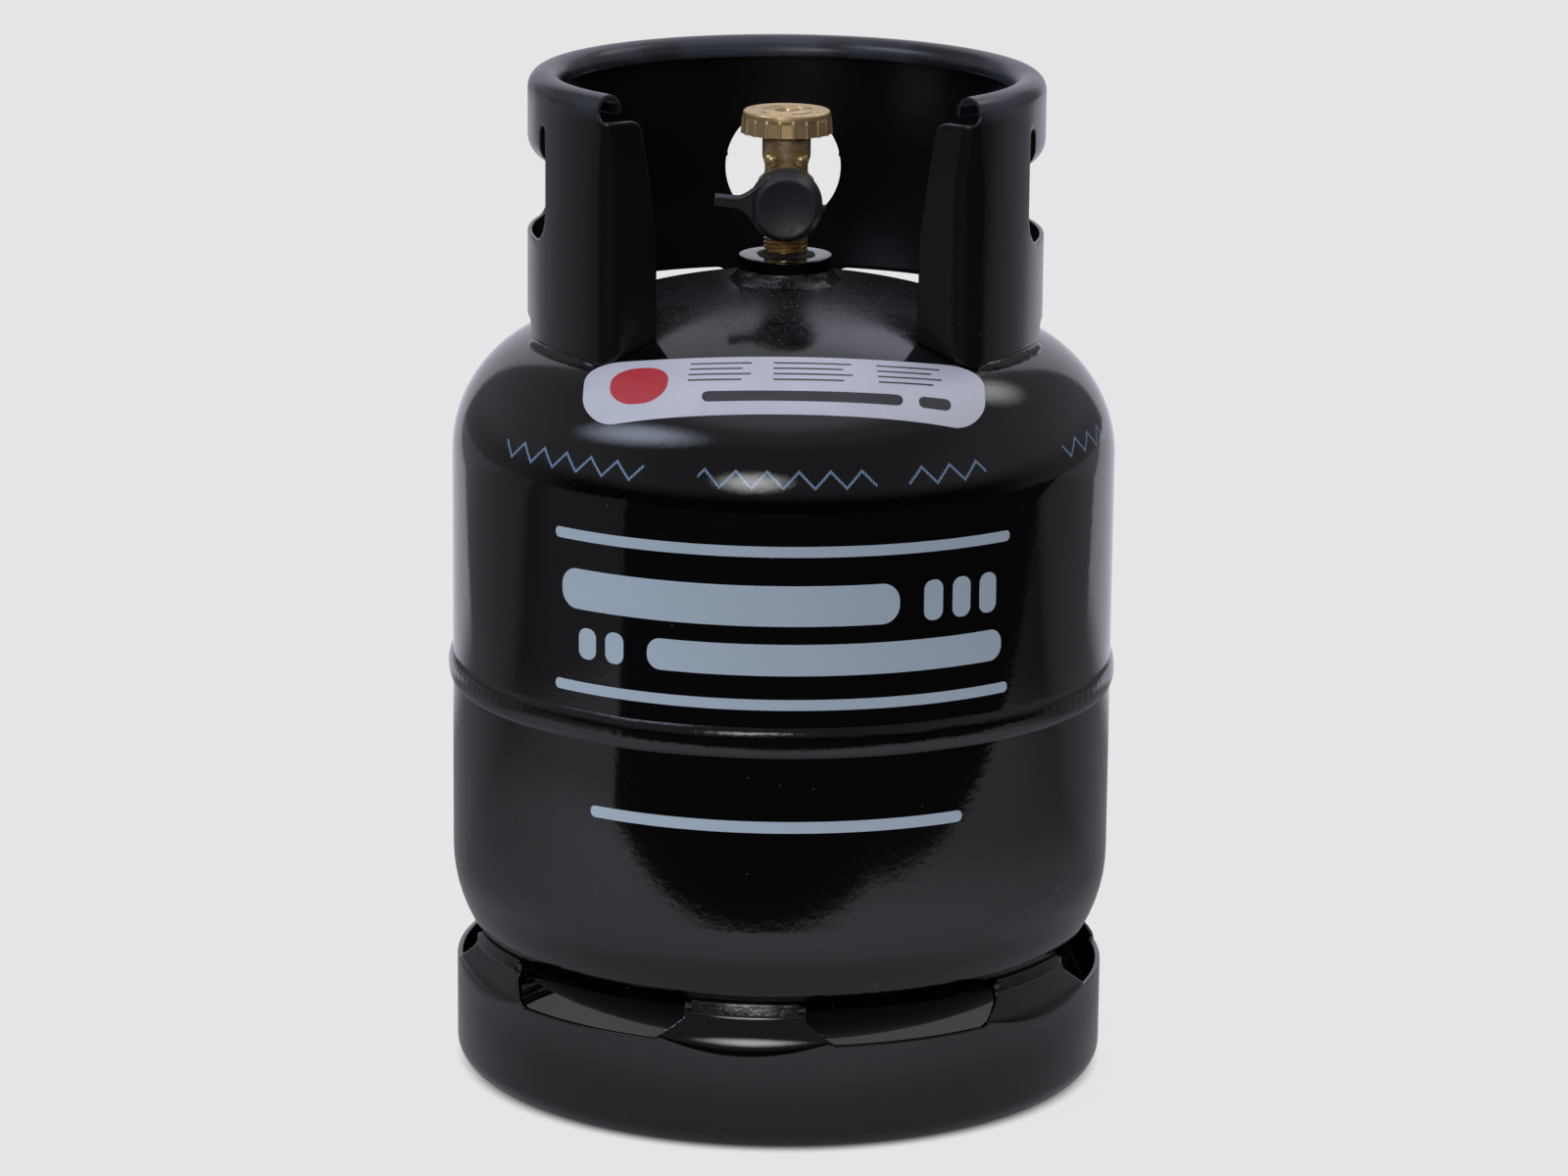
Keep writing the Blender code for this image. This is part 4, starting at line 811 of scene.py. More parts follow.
# %% Sizes of the collar
COLLAR_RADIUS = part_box("collar")[1].x
COLLAR_SHEET = 2.2 * MM
ROLL_RADIUS = 7.5 * MM
ROLL_LIP = 2.0 * MM
OPENING_HALF = math.radians(46.2)
COLLAR_TURN = math.radians(0.8)
BEND_RADIUS = 7.0 * MM
BEND_ANGLE = math.radians(78.0)
BEND_EASE = 4.5 * MM
BEND_EASE_DEPTH = 30.0 * MM
WING_WIDTH = 20.5 * MM
WING_TOP_WIDTH = 12.5 * MM
WING_TOP_DROP = 11.4 * MM
WING_SLANT = 52.0 * MM
HAND_HOLE_DROP = 19.5 * MM
HAND_HOLE_HEIGHT = 52.5 * MM
HAND_HOLE_WIDTH = 89.0 * MM
NOTCH_WIDTH = 6.0 * MM
FLAP_DROP = 9.2 * MM
FLAP_RADIUS = 10.0 * MM
FLAP_TURN = math.radians(78.0)
REAR_HOLE_DROP = 62.4 * MM
REAR_HOLE_RADIUS = 27.5 * MM
REAR_EDGE_LIFT = 9.5 * MM
FRONT_FOOT_END = math.radians(79.0)
REAR_FOOT_HALF = math.radians(13.0)

collar_foot = dome_height(COLLAR_RADIUS) + CLEAR
wall_end = COLLAR_RADIUS * (math.pi - OPENING_HALF)
bend_end = wall_end + BEND_RADIUS * BEND_ANGLE
blank_end = bend_end + WING_WIDTH
roll_start = COLLAR_TOP - ROLL_RADIUS - collar_foot
roll_end = roll_start + math.pi * ROLL_RADIUS
blank_top = roll_end + ROLL_LIP
hole_top = COLLAR_TOP - HAND_HOLE_DROP - collar_foot
hole_middle = COLLAR_RADIUS * math.pi / 2
hole_half = COLLAR_RADIUS * math.asin(HAND_HOLE_WIDTH / 2 / COLLAR_RADIUS)
flap_half = hole_half - NOTCH_WIDTH
flap_length = FLAP_DROP + FLAP_RADIUS * FLAP_TURN
wing_top = COLLAR_TOP - WING_TOP_DROP - collar_foot
print("collar blank:", round(2 * blank_end / MM), "by", round(blank_top / MM), "mm")

# %% [markdown]
# Both halves of the strip have the same cuts, so the cutters are drawn for the right half and a
# mirrored copy serves the left. They reach past the edges of the plate, because a cutter that ends
# exactly on an edge may leave a thin skin there.

# %% Flat blank of the collar
PAST_EDGE = 2 * MM
WING_ROUNDS = (0.0, 4.5 * MM, 6.0 * MM, 30.0 * MM, 0.0, 0.0, 0.0)
NOTCH_ROUND = 2.8 * MM
FLAP_ROUND = 6.0 * MM
LIFT_ROUND = 5.0 * MM
HAND_HOLE_CORNER = 14.0 * MM


def collar_punches():
    """Cutters for the right half: end outline, grip hole round its flap, raised rear edge."""
    bm = bmesh.new()
    far, over = blank_end + 2 * PAST_EDGE, blank_top + PAST_EDGE
    depth = 3 * COLLAR_SHEET
    end = [(wall_end, over), (wall_end, wing_top), (bend_end + WING_TOP_WIDTH, wing_top),
           (blank_end, wing_top - WING_SLANT), (blank_end, -PAST_EDGE), (far, -PAST_EDGE), (far, over)]
    add_punch(bm, rounded(end, WING_ROUNDS), depth)
    left, right = hole_middle - hole_half, hole_middle + hole_half
    inner_left, inner_right = hole_middle - flap_half, hole_middle + flap_half
    low, tip = hole_top - HAND_HOLE_HEIGHT, hole_top - flap_length
    grip = [(left, low), (right, low), (right, hole_top), (inner_right, hole_top), (inner_right, tip),
            (inner_left, tip), (inner_left, hole_top), (left, hole_top)]
    pairs = (HAND_HOLE_CORNER, NOTCH_ROUND, FLAP_ROUND, NOTCH_ROUND)
    rounds = [radius for radius in pairs for _ in range(2)]
    add_punch(bm, rounded(grip, rounds), depth)
    start = COLLAR_RADIUS * REAR_FOOT_HALF
    stop = COLLAR_RADIUS * (math.pi - FRONT_FOOT_END)
    lift = [(start, -PAST_EDGE), (stop, -PAST_EDGE), (stop, REAR_EDGE_LIFT), (start, REAR_EDGE_LIFT)]
    add_punch(bm, rounded(lift, [0.0, 0.0, LIFT_ROUND, LIFT_ROUND]), depth)
    return bm


def collar_blank():
    half = stations(
        (0.0, 3 * MM), (wall_end - 6 * MM, 1 * MM), (bend_end + 6 * MM, 3 * MM),
        (blank_end + PAST_EDGE, 0.0))
    columns = [-place for place in half[:0:-1]] + half
    rows = stations(
        (0.0, 3 * MM), (hole_top - flap_length, 1.8 * MM), (hole_top, 3 * MM), (roll_start, 1.2 * MM),
        (blank_top, 0.0))
    punches = collar_punches()
    grown = bmesh.ops.duplicate(punches, geom=punches.verts[:] + punches.edges[:] + punches.faces[:])
    bmesh.ops.scale(punches, verts=new_points(grown), vec=(-1, 1, 1))
    rear_hole = arc((0.0, COLLAR_TOP - REAR_HOLE_DROP - collar_foot), REAR_HOLE_RADIUS, 0.0, 360.0, 72)
    add_punch(punches, rear_hole[:-1], 3 * COLLAR_SHEET)
    bm = punched(columns, rows, COLLAR_SHEET, punches)
    round_edges(bm, EDGE_ROUND)
    return bm


collar = collar_blank()
print("collar faces:", len(collar.faces))

# %% [markdown]
# The forming function first finds where a point's column stands in plan: on the round wall, in the
# end bend, which eases from a tight radius under the roll to a wider one below, or on the straight
# wing. Then it bends the column upwards: over the roll at the top, or inwards along the flap. The
# thickness follows the direction that the sheet faces after each bend.
# The wings come nearer to the valve, where the dome is higher, so their feet are drawn up to it.

# %% Bend the collar
def collar_plan(along, up):
    """Place of the outer face in plan, and the direction that it faces."""
    side = -1.0 if along < 0 else 1.0
    run = abs(along)
    depth = clamped((wing_top - up) / BEND_EASE_DEPTH)
    ease = BEND_EASE * depth ** 2 * (3 - 2 * depth)
    back = ease * math.tan(BEND_ANGLE / 2)
    start, end = wall_end - back, bend_end + back
    facing = outward(math.pi - min(run, start) / COLLAR_RADIUS)
    place = facing * COLLAR_RADIUS
    if run > start:
        share = min((run - start) / (end - start), 1.0)
        centre = facing * (COLLAR_RADIUS - BEND_RADIUS - ease)
        facing = Matrix.Rotation(-share * (BEND_ANGLE + back / COLLAR_RADIUS), 3, "Z") @ facing
        place = centre + facing * (BEND_RADIUS + ease)
        place += Vector((facing.y, -facing.x, 0.0)) * max(run - end, 0.0)
    mirror = Matrix.Rotation(COLLAR_TURN, 3, "Z") @ Matrix.Diagonal((side, 1.0, 1.0))
    return mirror @ place, mirror @ facing


def on_flap(along, up):
    """Whether a place on the flat strip lies on one of the two grip flaps."""
    beside = abs(abs(along) - hole_middle)
    return hole_top > up > hole_top - flap_length - EDGE_ROUND and beside < flap_half + EDGE_ROUND


def collar_point(along, up, through):
    place, facing = collar_plan(along, up)
    if up > roll_start:
        bend = min((up - roll_start) / ROLL_RADIUS, math.pi)
        lip = max(up - roll_end, 0.0)
        place += UPRIGHT * (collar_foot + roll_start + ROLL_RADIUS * math.sin(bend) - lip)
        place -= facing * ROLL_RADIUS * (1 - math.cos(bend))
        facing = math.cos(bend) * facing + math.sin(bend) * UPRIGHT
    elif on_flap(along, up):
        drop = min(hole_top - up, FLAP_DROP)
        bend = (hole_top - up - drop) / FLAP_RADIUS
        place += UPRIGHT * (collar_foot + hole_top - drop - FLAP_RADIUS * math.sin(bend))
        place -= facing * FLAP_RADIUS * (1 - math.cos(bend))
        facing = math.cos(bend) * facing - math.sin(bend) * UPRIGHT
    else:
        foot = max(dome_height(min(place.xy.length, COLLAR_RADIUS)) + CLEAR - collar_foot, 0.0)
        share = max(1.0 - up / (wing_top - WING_SLANT), 0.0)
        place += UPRIGHT * (collar_foot + up + foot * share)
    return place + facing * through


for vert in collar.verts:
    vert.co = collar_point(*vert.co)
bmesh.ops.recalc_face_normals(collar, faces=collar.faces)
add_steel("collar_skin", collar, COLLAR_ENAMEL, "collar", 50.0)

# %% [markdown]
# ## Beads that hold the collar
# The collar stands on the dome on three feet, and each foot is welded along its outer edge. A bead
# is a small rounded section spun through part of a turn. Closing its two ends and pushing its
# points about with noise turns the clean sweep into a run of weld.

# %% Collar welds
COLLAR_WELD = 2.8 * MM
BEAD_STEP = 1.2 * MM


def swept_bead(section, start, end, steps):
    """Spin a closed section of (radius, height) points through part of a turn and close its ends."""
    bm = bmesh.new()
    out = outward(start)
    face = bm.faces.new([bm.verts.new(out * radius + UPRIGHT * height) for radius, height in section])
    bmesh.ops.spin(bm, geom=[face], cent=(0, 0, 0), axis=UPRIGHT, angle=end - start, steps=steps)
    bmesh.ops.recalc_face_normals(bm, faces=bm.faces)
    return bm


def collar_bead(start, end):
    root = COLLAR_RADIUS - 0.5 * MM
    low = dome_height(COLLAR_RADIUS + COLLAR_WELD) - 0.3 * MM
    size = COLLAR_WELD + 0.4 * MM
    stretch = (collar_foot + COLLAR_WELD - low) / size
    crown = arc((root, low), size, 0.0, 90.0, 8)
    section = [(root, low)] + [(radius, low + (height - low) * stretch) for radius, height in crown]
    bm = swept_bead(section, start, end, max(round((end - start) * COLLAR_RADIUS / BEAD_STEP), 8))
    middle, half = (start + end) / 2, (end - start) / 2
    for vert in bm.verts:
        turn = math.atan2(vert.co.x, -vert.co.y)
        away = abs((turn - middle + math.pi) % (2 * math.pi) - math.pi)
        taper = math.sqrt(max(1.0 - (away / half) ** 8, 0.05))
        vert.co.xy *= 1.0 + (taper - 1.0) * max(vert.co.xy.length - root, 0.0) / vert.co.xy.length
        vert.co.z = low + (vert.co.z - low) * taper
    lumpy(bm, 0.22 * MM, 260.0)
    return bm


collar_feet = {
    "right": (OPENING_HALF, FRONT_FOOT_END),
    "left": (-FRONT_FOOT_END, -OPENING_HALF),
    "rear": (math.pi - REAR_FOOT_HALF, math.pi + REAR_FOOT_HALF),
}
for side, (start, end) in collar_feet.items():
    bead = collar_bead(start + COLLAR_TURN, end + COLLAR_TURN)
    add_steel("collar_bead_" + side, bead, WELD_ENAMEL, "collar_weld_" + side)

# %% [markdown]
# ## The foot ring
# The foot ring is a strip too: its lower edge curls under to make a soft standing edge, and six
# tabs at the top lean in to meet the shell. The press bends a tab softly in its middle and sharply
# at its two corners, so the bend looks like a smile. The strip is cut flat, its two ends are left
# open, and after bending they are merged into one ring.

# %% Flat blank of the foot ring
FOOT_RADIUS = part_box("foot_ring")[1].x
FOOT_SHEET = 2.5 * MM
FOOT_CURL = 10.0 * MM
FOOT_FLAT = 4.0 * MM
FOOT_WALL = 48.5 * MM
TAB_COUNT = 6
TAB_TURN = math.radians(-6.0)
TAB_BASE = math.radians(31.6)
TAB_LIP = math.radians(21.5)
TAB_RISE = 10.0 * MM
TAB_CREASE = 47.9 * MM
TAB_SAG = 3.0 * MM
TAB_SLOPE = 0.6
CREASE_SOFT = 3.6 * MM
LIP_SOFT = 0.8 * MM
LIP_HEIGHT = 6.0 * MM
GAP_CORNER = 3.0 * MM
LIP_CORNER = 2.0 * MM
FOOT_STEPS = 420

tab_pitch = 2 * math.pi / TAB_COUNT
lip_bottom = FOOT_WALL + TAB_RISE
lip_top = lip_bottom + LIP_HEIGHT
lip_radius = shell_radius(lip_top) + CLEAR + FOOT_SHEET
curl_run = FOOT_CURL * math.pi / 2
wall_base = FOOT_FLAT + curl_run
strip_half = FOOT_RADIUS * math.pi


def strip_height(height):
    """Place on the flat strip of a height on the upright wall."""
    return wall_base + height - FOOT_CURL


def foot_blank():
    columns = [strip_half * (2 * index / FOOT_STEPS - 1) for index in range(FOOT_STEPS + 1)]
    rows = stations(
        (0.0, 2 * MM), (FOOT_FLAT, 1.3 * MM), (wall_base, 4 * MM),
        (strip_height(TAB_CREASE) - 10 * MM, 1.0 * MM), (strip_height(lip_top), 0.0))
    punches = bmesh.new()
    base = FOOT_RADIUS * (tab_pitch - TAB_BASE) / 2
    lip = FOOT_RADIUS * (tab_pitch - TAB_LIP) / 2 - 0.5 * MM
    low, middle = strip_height(FOOT_WALL), strip_height(lip_bottom)
    high = strip_height(lip_top) + PAST_EDGE
    corners = [(-lip, high), (-lip, middle), (-base, low), (base, low), (lip, middle), (lip, high)]
    gap = rounded(corners, [0.0, LIP_CORNER, GAP_CORNER, GAP_CORNER, LIP_CORNER, 0.0])
    for index in range(TAB_COUNT):
        place = FOOT_RADIUS * ((index + 0.5) * tab_pitch - math.pi)
        add_punch(punches, [(place + x, y) for x, y in gap], 3 * FOOT_SHEET)
    bm = punched(columns, rows, FOOT_SHEET, punches)
    ends = [face for face in bm.faces if abs(abs(face.calc_center_median().x) - strip_half) < MERGE]
    bmesh.ops.delete(bm, geom=ends, context="FACES_ONLY")
    round_edges(bm, EDGE_ROUND)
    return bm


foot_ring = foot_blank()
print("foot strip:", round(2 * strip_half / MM), "mm long,", len(foot_ring.faces), "faces")

# %% [markdown]
# Bending follows the strip upwards: flat under the bottle, round the curl, up the wall, and then,
# on a tab, inwards along the leaning plate until the lip stands upright against the shell. Wall,
# plate and lip are three surfaces; the inner of wall and plate and the outer of plate and lip are
# chosen with a soft switch, so the sheet bends with a radius. The tilt comes from two near heights.

# %% Bend the foot ring
def soft_lower(first, second, soft):
    """The lower of two values, rounded off where they are nearly equal."""
    near = max(soft - abs(first - second), 0.0) / soft
    return min(first, second) - near ** 2 * soft / 4


def tab_radius(height, turn):
    """Radius of the outer face of the upright wall, a leaning tab or its lip."""
    across = (turn - TAB_TURN + tab_pitch / 2) % tab_pitch - tab_pitch / 2
    share = min(abs(2 * across / TAB_BASE), 1.2)
    plate = FOOT_RADIUS - TAB_SLOPE * (height - TAB_CREASE - TAB_SAG * share ** 2)
    soft = CREASE_SOFT * max(1.0 - share ** 2, 0.06)
    return -soft_lower(-soft_lower(plate, FOOT_RADIUS, soft), -lip_radius, LIP_SOFT)


def foot_section(up, turn):
    """Radius, height and tilt of the outer face at a place up the strip."""
    if up < FOOT_FLAT:
        return FOOT_RADIUS - FOOT_CURL - FOOT_FLAT + up, 0.0, -math.pi / 2
    if up < wall_base:
        bend = (up - FOOT_FLAT) / FOOT_CURL
        radius = FOOT_RADIUS - FOOT_CURL + FOOT_CURL * math.sin(bend)
        return radius, FOOT_CURL * (1 - math.cos(bend)), bend - math.pi / 2
    height = up - wall_base + FOOT_CURL
    step = 0.2 * MM
    lean = (tab_radius(height - step, turn) - tab_radius(height + step, turn)) / (2 * step)
    return tab_radius(height, turn), height, math.atan(lean)


def foot_point(along, up, through):
    turn = along / FOOT_RADIUS + TAB_TURN + math.pi
    radius, height, tilt = foot_section(up, turn)
    out = outward(turn)
    return out * radius + UPRIGHT * height + (math.cos(tilt) * out + math.sin(tilt) * UPRIGHT) * through


for vert in foot_ring.verts:
    vert.co = foot_point(*vert.co)
bmesh.ops.remove_doubles(foot_ring, verts=foot_ring.verts, dist=0.02 * MM)
bmesh.ops.recalc_face_normals(foot_ring, faces=foot_ring.faces)
add_steel("foot_ring_skin", foot_ring, FOOT_ENAMEL, "foot_ring", 50.0)

# %% [markdown]
# ## Beads on the foot tabs
# Each tab's lip is joined to the shell by a short, wet-looking bead. They are all made by the same
# sweep as the collar's beads, one for each tab, with other noise because each lies at another place.

# %% Foot welds
FOOT_WELD = 1.4 * MM
PAD_PROUD = 1.3 * MM
PAD_LEAN = math.tan(math.radians(17.0))
PAD_ROUND = 1.3 * MM
PAD_HALF = 0.46 * TAB_LIP


def foot_bead(middle):
    low = lip_bottom + 1.0 * MM
    high = lip_top + FOOT_WELD
    rises = [(high - low) * step / 5 for step in range(6)]
    face = [(lip_radius + PAD_PROUD - PAD_LEAN * rise, low + rise) for rise in rises]
    corners = [(lip_radius - 1.0 * MM, low)] + face + [(shell_radius(high) - 1.5 * MM, high)]
    section = rounded(corners, [0.0, 0.9 * MM, 0.0, 0.0, 0.0, 0.0, 1.2 * MM, 0.0])
    bm = swept_bead(section, middle - PAD_HALF, middle + PAD_HALF, 60)
    round_edges(bm, PAD_ROUND, 60.0, 4)
    lumpy(bm, 0.08 * MM, 200.0)
    return bm


for index in range(TAB_COUNT):
    bead = foot_bead(TAB_TURN + index * tab_pitch)
    add_steel("foot_bead_%d" % (index + 1), bead, WELD_ENAMEL, "foot_weld_%d" % (index + 1))

# %% [markdown]
# ## Neck boss
# The valve screws into a forged boss in the middle of the dome. Its top is faced flat and its edge
# is crisp; below it a hand-laid weld sweeps out onto the dome in lumps that have melted together.
# The weld's hollow outline is spun in fine steps and then pushed by slow noise for the lumps.

# %% Boss and its weld
BOSS_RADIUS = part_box("neck_boss")[1].x
BOSS_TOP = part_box("neck_boss")[1].z
BOSS_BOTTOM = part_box("neck_boss")[0].z
BOSS_BORE = 9.9 * MM
BOSS_SPIGOT = 17.0 * MM
BOSS_WELD_TOP = BOSS_TOP - 3.5 * MM
BOSS_WELD_LEG = 7.0 * MM
BOSS_WELD_SINK = 0.25 * MM
BOSS_WELD_LUMP = 2.0 * MM


def boss_body():
    seat = dome_height(BOSS_RADIUS) - 0.5 * MM
    corners = [(BOSS_BORE, BOSS_TOP), (BOSS_RADIUS, BOSS_TOP), (BOSS_RADIUS, seat), (BOSS_SPIGOT, seat),
               (BOSS_SPIGOT, BOSS_BOTTOM), (BOSS_BORE - 1.6 * MM, BOSS_BOTTOM)]
    return turned(rounded(corners, [0.3 * MM, 0.7 * MM, 0.0, 0.0, 0.5 * MM, 0.0]), 128)


def soften(bm, verts, passes):
    """Smooth some points of a mesh a number of times."""
    for _ in range(passes):
        bmesh.ops.smooth_vert(
            bm, verts=verts, factor=0.5, use_axis_x=True, use_axis_y=True, use_axis_z=True)


def boss_fillet():
    root = BOSS_RADIUS - 0.3 * MM
    toe = BOSS_RADIUS + BOSS_WELD_LEG
    foot = dome_height(toe) - BOSS_WELD_SINK
    quarter = arc((0.0, 0.0), 1.0, 0.0, 90.0, 16)
    crown = [(toe - (toe - root) * x, BOSS_WELD_TOP + (foot - BOSS_WELD_TOP) * y) for x, y in quarter]
    bm = turned(crown + [(root, foot)], 200)
    for vert in bm.verts:
        turn = math.atan2(vert.co.y, vert.co.x)
        free = clamped((vert.co.xy.length - root) / (toe - root))
        ring = Vector((math.cos(turn), math.sin(turn), vert.co.z * 40.0)) * 2.2
        lump = noise.noise(ring) + 0.35 * noise.noise(ring * 2.6)
        vert.co.xy *= 1.0 + free * BOSS_WELD_LUMP * lump / vert.co.xy.length
        drop = dome_height(vert.co.xy.length) - BOSS_WELD_SINK
        vert.co.z += math.sin(math.pi * free) * 1.2 * MM * noise.noise(ring * 1.2)
        vert.co.z = max(vert.co.z, drop) if free < 0.999 else drop
    soften(bm, [vert for vert in bm.verts if vert.co.xy.length > BOSS_RADIUS], 6)
    return bm


add_steel("neck_boss_skin", boss_body(), WELD_ENAMEL, "neck_boss")
add_steel("boss_fillet", boss_fillet(), BOTTLE_ENAMEL, "boss_weld", 75.0)

# %% [markdown]
# ## Brass, gold paint, plastic and rubber
# The valve body is a forging: dull brass with a sandy skin, browner in its hollows. Turned brass
# on the threads and pins is brighter. The wheel is a casting under gold paint, so its colour is
# flat and warm, drifting to a darker tone in patches. The cap is moulded plastic with a fine grain.
# All of them are the same few nodes with other values, so one function makes them.

# %% Finishes of the valve
def grained(name, light, dark, metal, rough, grain_scale, grain_depth, stain_scale=160.0):
    """A finish whose colour and gloss drift between two values over a fine grain."""
    material, tree, shader = new_finish(name)
    stain = fade(tree, noise_node(tree, object_place(tree), stain_scale, 5.0, 0.65), 0.35, 0.68)
    grain = place_group(tree, "cast_grain", Scale=grain_scale)
    mixed = math_node(tree, "MULTIPLY", stain, fade(tree, grain, 0.3, 0.9), clamp=True)
    gloss = fade(tree, stain, 0.0, 1.0, rough * 1.25, rough * 0.85)
    set_surface(tree, shader, mix_colour(tree, mixed, dark, light), gloss, grain, grain_depth)
    shader.inputs["Metallic"].default_value = metal
    return material


FORGED_BRASS = grained(
    "forged_brass", (0.80, 0.62, 0.38, 1.0), (0.42, 0.29, 0.14, 1.0), 0.45, 0.38, 1500.0, 0.14 * MM)
TURNED_BRASS = grained(
    "turned_brass", (0.94, 0.74, 0.36, 1.0), (0.78, 0.54, 0.20, 1.0), 0.95, 0.22, 900.0, 0.01 * MM)
PIN_BRASS = grained(
    "pin_brass", (0.92, 0.73, 0.36, 1.0), (0.70, 0.51, 0.20, 1.0), 0.7, 0.27, 900.0, 0.02 * MM)
GOLD_PAINT = grained(
    "gold_paint", (0.92, 0.68, 0.37, 1.0), (0.66, 0.46, 0.21, 1.0), 0.70, 0.30, 1900.0, 0.04 * MM, 220.0)
CAP_PLASTIC = grained(
    "cap_plastic", (0.030, 0.030, 0.036, 1.0), (0.022, 0.022, 0.026, 1.0), 0.0, 0.42, 2400.0, 0.02 * MM)
SEAL_RUBBER = grained(
    "seal_rubber", (0.014, 0.014, 0.014, 1.0), (0.008, 0.008, 0.008, 1.0), 0.0, 0.75, 1800.0, 0.03 * MM)
BRIGHT_STEEL = grained(
    "bright_steel", (0.55, 0.55, 0.56, 1.0), (0.35, 0.35, 0.36, 1.0), 1.0, 0.30, 1200.0, 0.01 * MM)
THREAD_SEALANT = grained(
    "thread_sealant", (0.020, 0.019, 0.017, 1.0), (0.006, 0.006, 0.006, 1.0), 0.0, 0.55, 900.0, 0.20 * MM,
    500.0)
print("valve finishes ready")

# %% [markdown]
# ## The valve body
# A forged body has no sharp corners: stem, block, cup and the two side barrels flow into each
# other. Plain turned shapes are joined first, then the join is melted: a voxel remesh gives the
# whole surface one even mesh, and smoothing rolls every inner corner into a fillet.

# %% Forged valve body
STEM_RADIUS = 9.9 * MM
STEM_EXPOSED = 9.2 * MM
BLOCK_RADIUS = 12.5 * MM
NECK_RADIUS = 9.7 * MM
CUP_RADIUS = 10.9 * MM
CUP_TOP = BOSS_TOP + 53.7 * MM
OUTLET_RADIUS = 10.9 * MM
OUTLET_END = 31.0 * MM
OUTLET_HEIGHT = BOSS_TOP + 26.8 * MM
RELIEF_RADIUS = 9.5 * MM
RELIEF_END = 27.2 * MM
RELIEF_HEIGHT = BOSS_TOP + 16.8 * MM
THREAD_DEPTH = 0.75 * MM
STEM_END = BOSS_TOP - 18.8 * MM
STEM_TAPER = 1.7 * MM
FORGING_VOXEL = 0.5 * MM
ON_OUTLET = Matrix.Translation((0, 0, OUTLET_HEIGHT)) @ Matrix.Rotation(math.pi / 2, 4, "X")
ON_RELIEF = Matrix.Translation((0, 0, RELIEF_HEIGHT)) @ Matrix.Rotation(-math.pi / 2, 4, "X")


def moved(bm, matrix):
    bmesh.ops.transform(bm, matrix=matrix, verts=bm.verts)
    return bm


def melted(bm, voxel, passes):
    """Remesh a joined shape to one even skin and smooth its corners."""
    item = mesh_object("workpiece", bm)
    step = item.modifiers.new("even skin", "REMESH")
    step.mode = "VOXEL"
    step.voxel_size = voxel
    result = taken_up(item)
    soften(result, result.verts, passes)
    return result


def stepped(steps, end, sides):
    """A round bar or bore of (radius, height) steps, each from its own height to the next."""
    outline = [(0, steps[0][1])]
    for (radius, high), low in zip(steps, [height for _, height in steps[1:]] + [end]):
        outline += [(radius, high), (radius, low)]
    return turned(outline + [(0, end)], sides)


def forged_body():
    up = BOSS_TOP
    corners = [
        (0.0, CUP_TOP), (CUP_RADIUS, CUP_TOP), (CUP_RADIUS, up + 44.6 * MM), (NECK_RADIUS, up + 41.6 * MM),
        (NECK_RADIUS, up + 37.0 * MM), (BLOCK_RADIUS, up + 34.6 * MM), (BLOCK_RADIUS, up + 11.4 * MM),
        (STEM_RADIUS - THREAD_DEPTH, up + STEM_EXPOSED), (STEM_RADIUS - STEM_TAPER, STEM_END),
        (0.0, STEM_END)]
    outlet = stepped([(OUTLET_RADIUS - THREAD_DEPTH, OUTLET_END)], 0, 64)
    relief = stepped([(RELIEF_RADIUS, RELIEF_END)], 0, 64)
    body = combine(turned(corners, 64), moved(outlet, ON_OUTLET), "UNION")
    body = combine(body, moved(relief, ON_RELIEF), "UNION")
    return melted(body, FORGING_VOXEL, 7)


forging = forged_body()
print("forging faces:", len(forging.faces))

# %% [markdown]
# The bores are cut after the melting, as a real forging is drilled after it has cooled. So they
# stay round, and the spindles, the outlet's seal and the relief valve keep their room inside.

# %% Bores of the valve
CUP_BORE = 8.4 * MM
CUP_FLOOR = BOSS_TOP + 42.4 * MM
SPINDLE_BORE = 6.2 * MM
SPINDLE_FLOOR = BOSS_TOP + 21.2 * MM
GAS_WAY = 3.0 * MM
SEAL_BORE = 7.3 * MM
SEAL_FLOOR = 28.3 * MM
OUTLET_WAY = 3.2 * MM
RELIEF_BORE = 6.8 * MM
RELIEF_FLOOR = 9.0 * MM
RELIEF_WAY = 2.2 * MM
WAY_START = 1.5 * MM
BORE_PAST = 2.0 * MM


def valve_bores():
    """Drills for the spindles, the outlet and the relief valve."""
    core = [(CUP_BORE, CUP_TOP + BORE_PAST), (SPINDLE_BORE, CUP_FLOOR), (GAS_WAY, SPINDLE_FLOOR)]
    outlet = [(SEAL_BORE, OUTLET_END + BORE_PAST), (OUTLET_WAY, SEAL_FLOOR)]
    relief = [(RELIEF_BORE, RELIEF_END + BORE_PAST), (RELIEF_WAY, RELIEF_FLOOR)]
    return [stepped(core, STEM_END - BORE_PAST, 48), moved(stepped(outlet, WAY_START, 48), ON_OUTLET),
            moved(stepped(relief, WAY_START, 48), ON_RELIEF)]


for bore in valve_bores():
    forging = combine(forging, bore, "DIFFERENCE")
add_piece("valve_forging", forging, FORGED_BRASS, ["valve_body"], sharp=50.0)

# %% [markdown]
# ## Threads
# A thread is a small triangle carried up a helix. Spin makes it in one call: besides the turn it
# takes a shift for each step, dvec, and the shift of one full turn is the pitch. The stem's thread
# is right-handed and the outlet's left-handed, so that nobody can mistake one for the other.

# %% Stem and outlet threads
THREAD_PITCH = 1.8 * MM


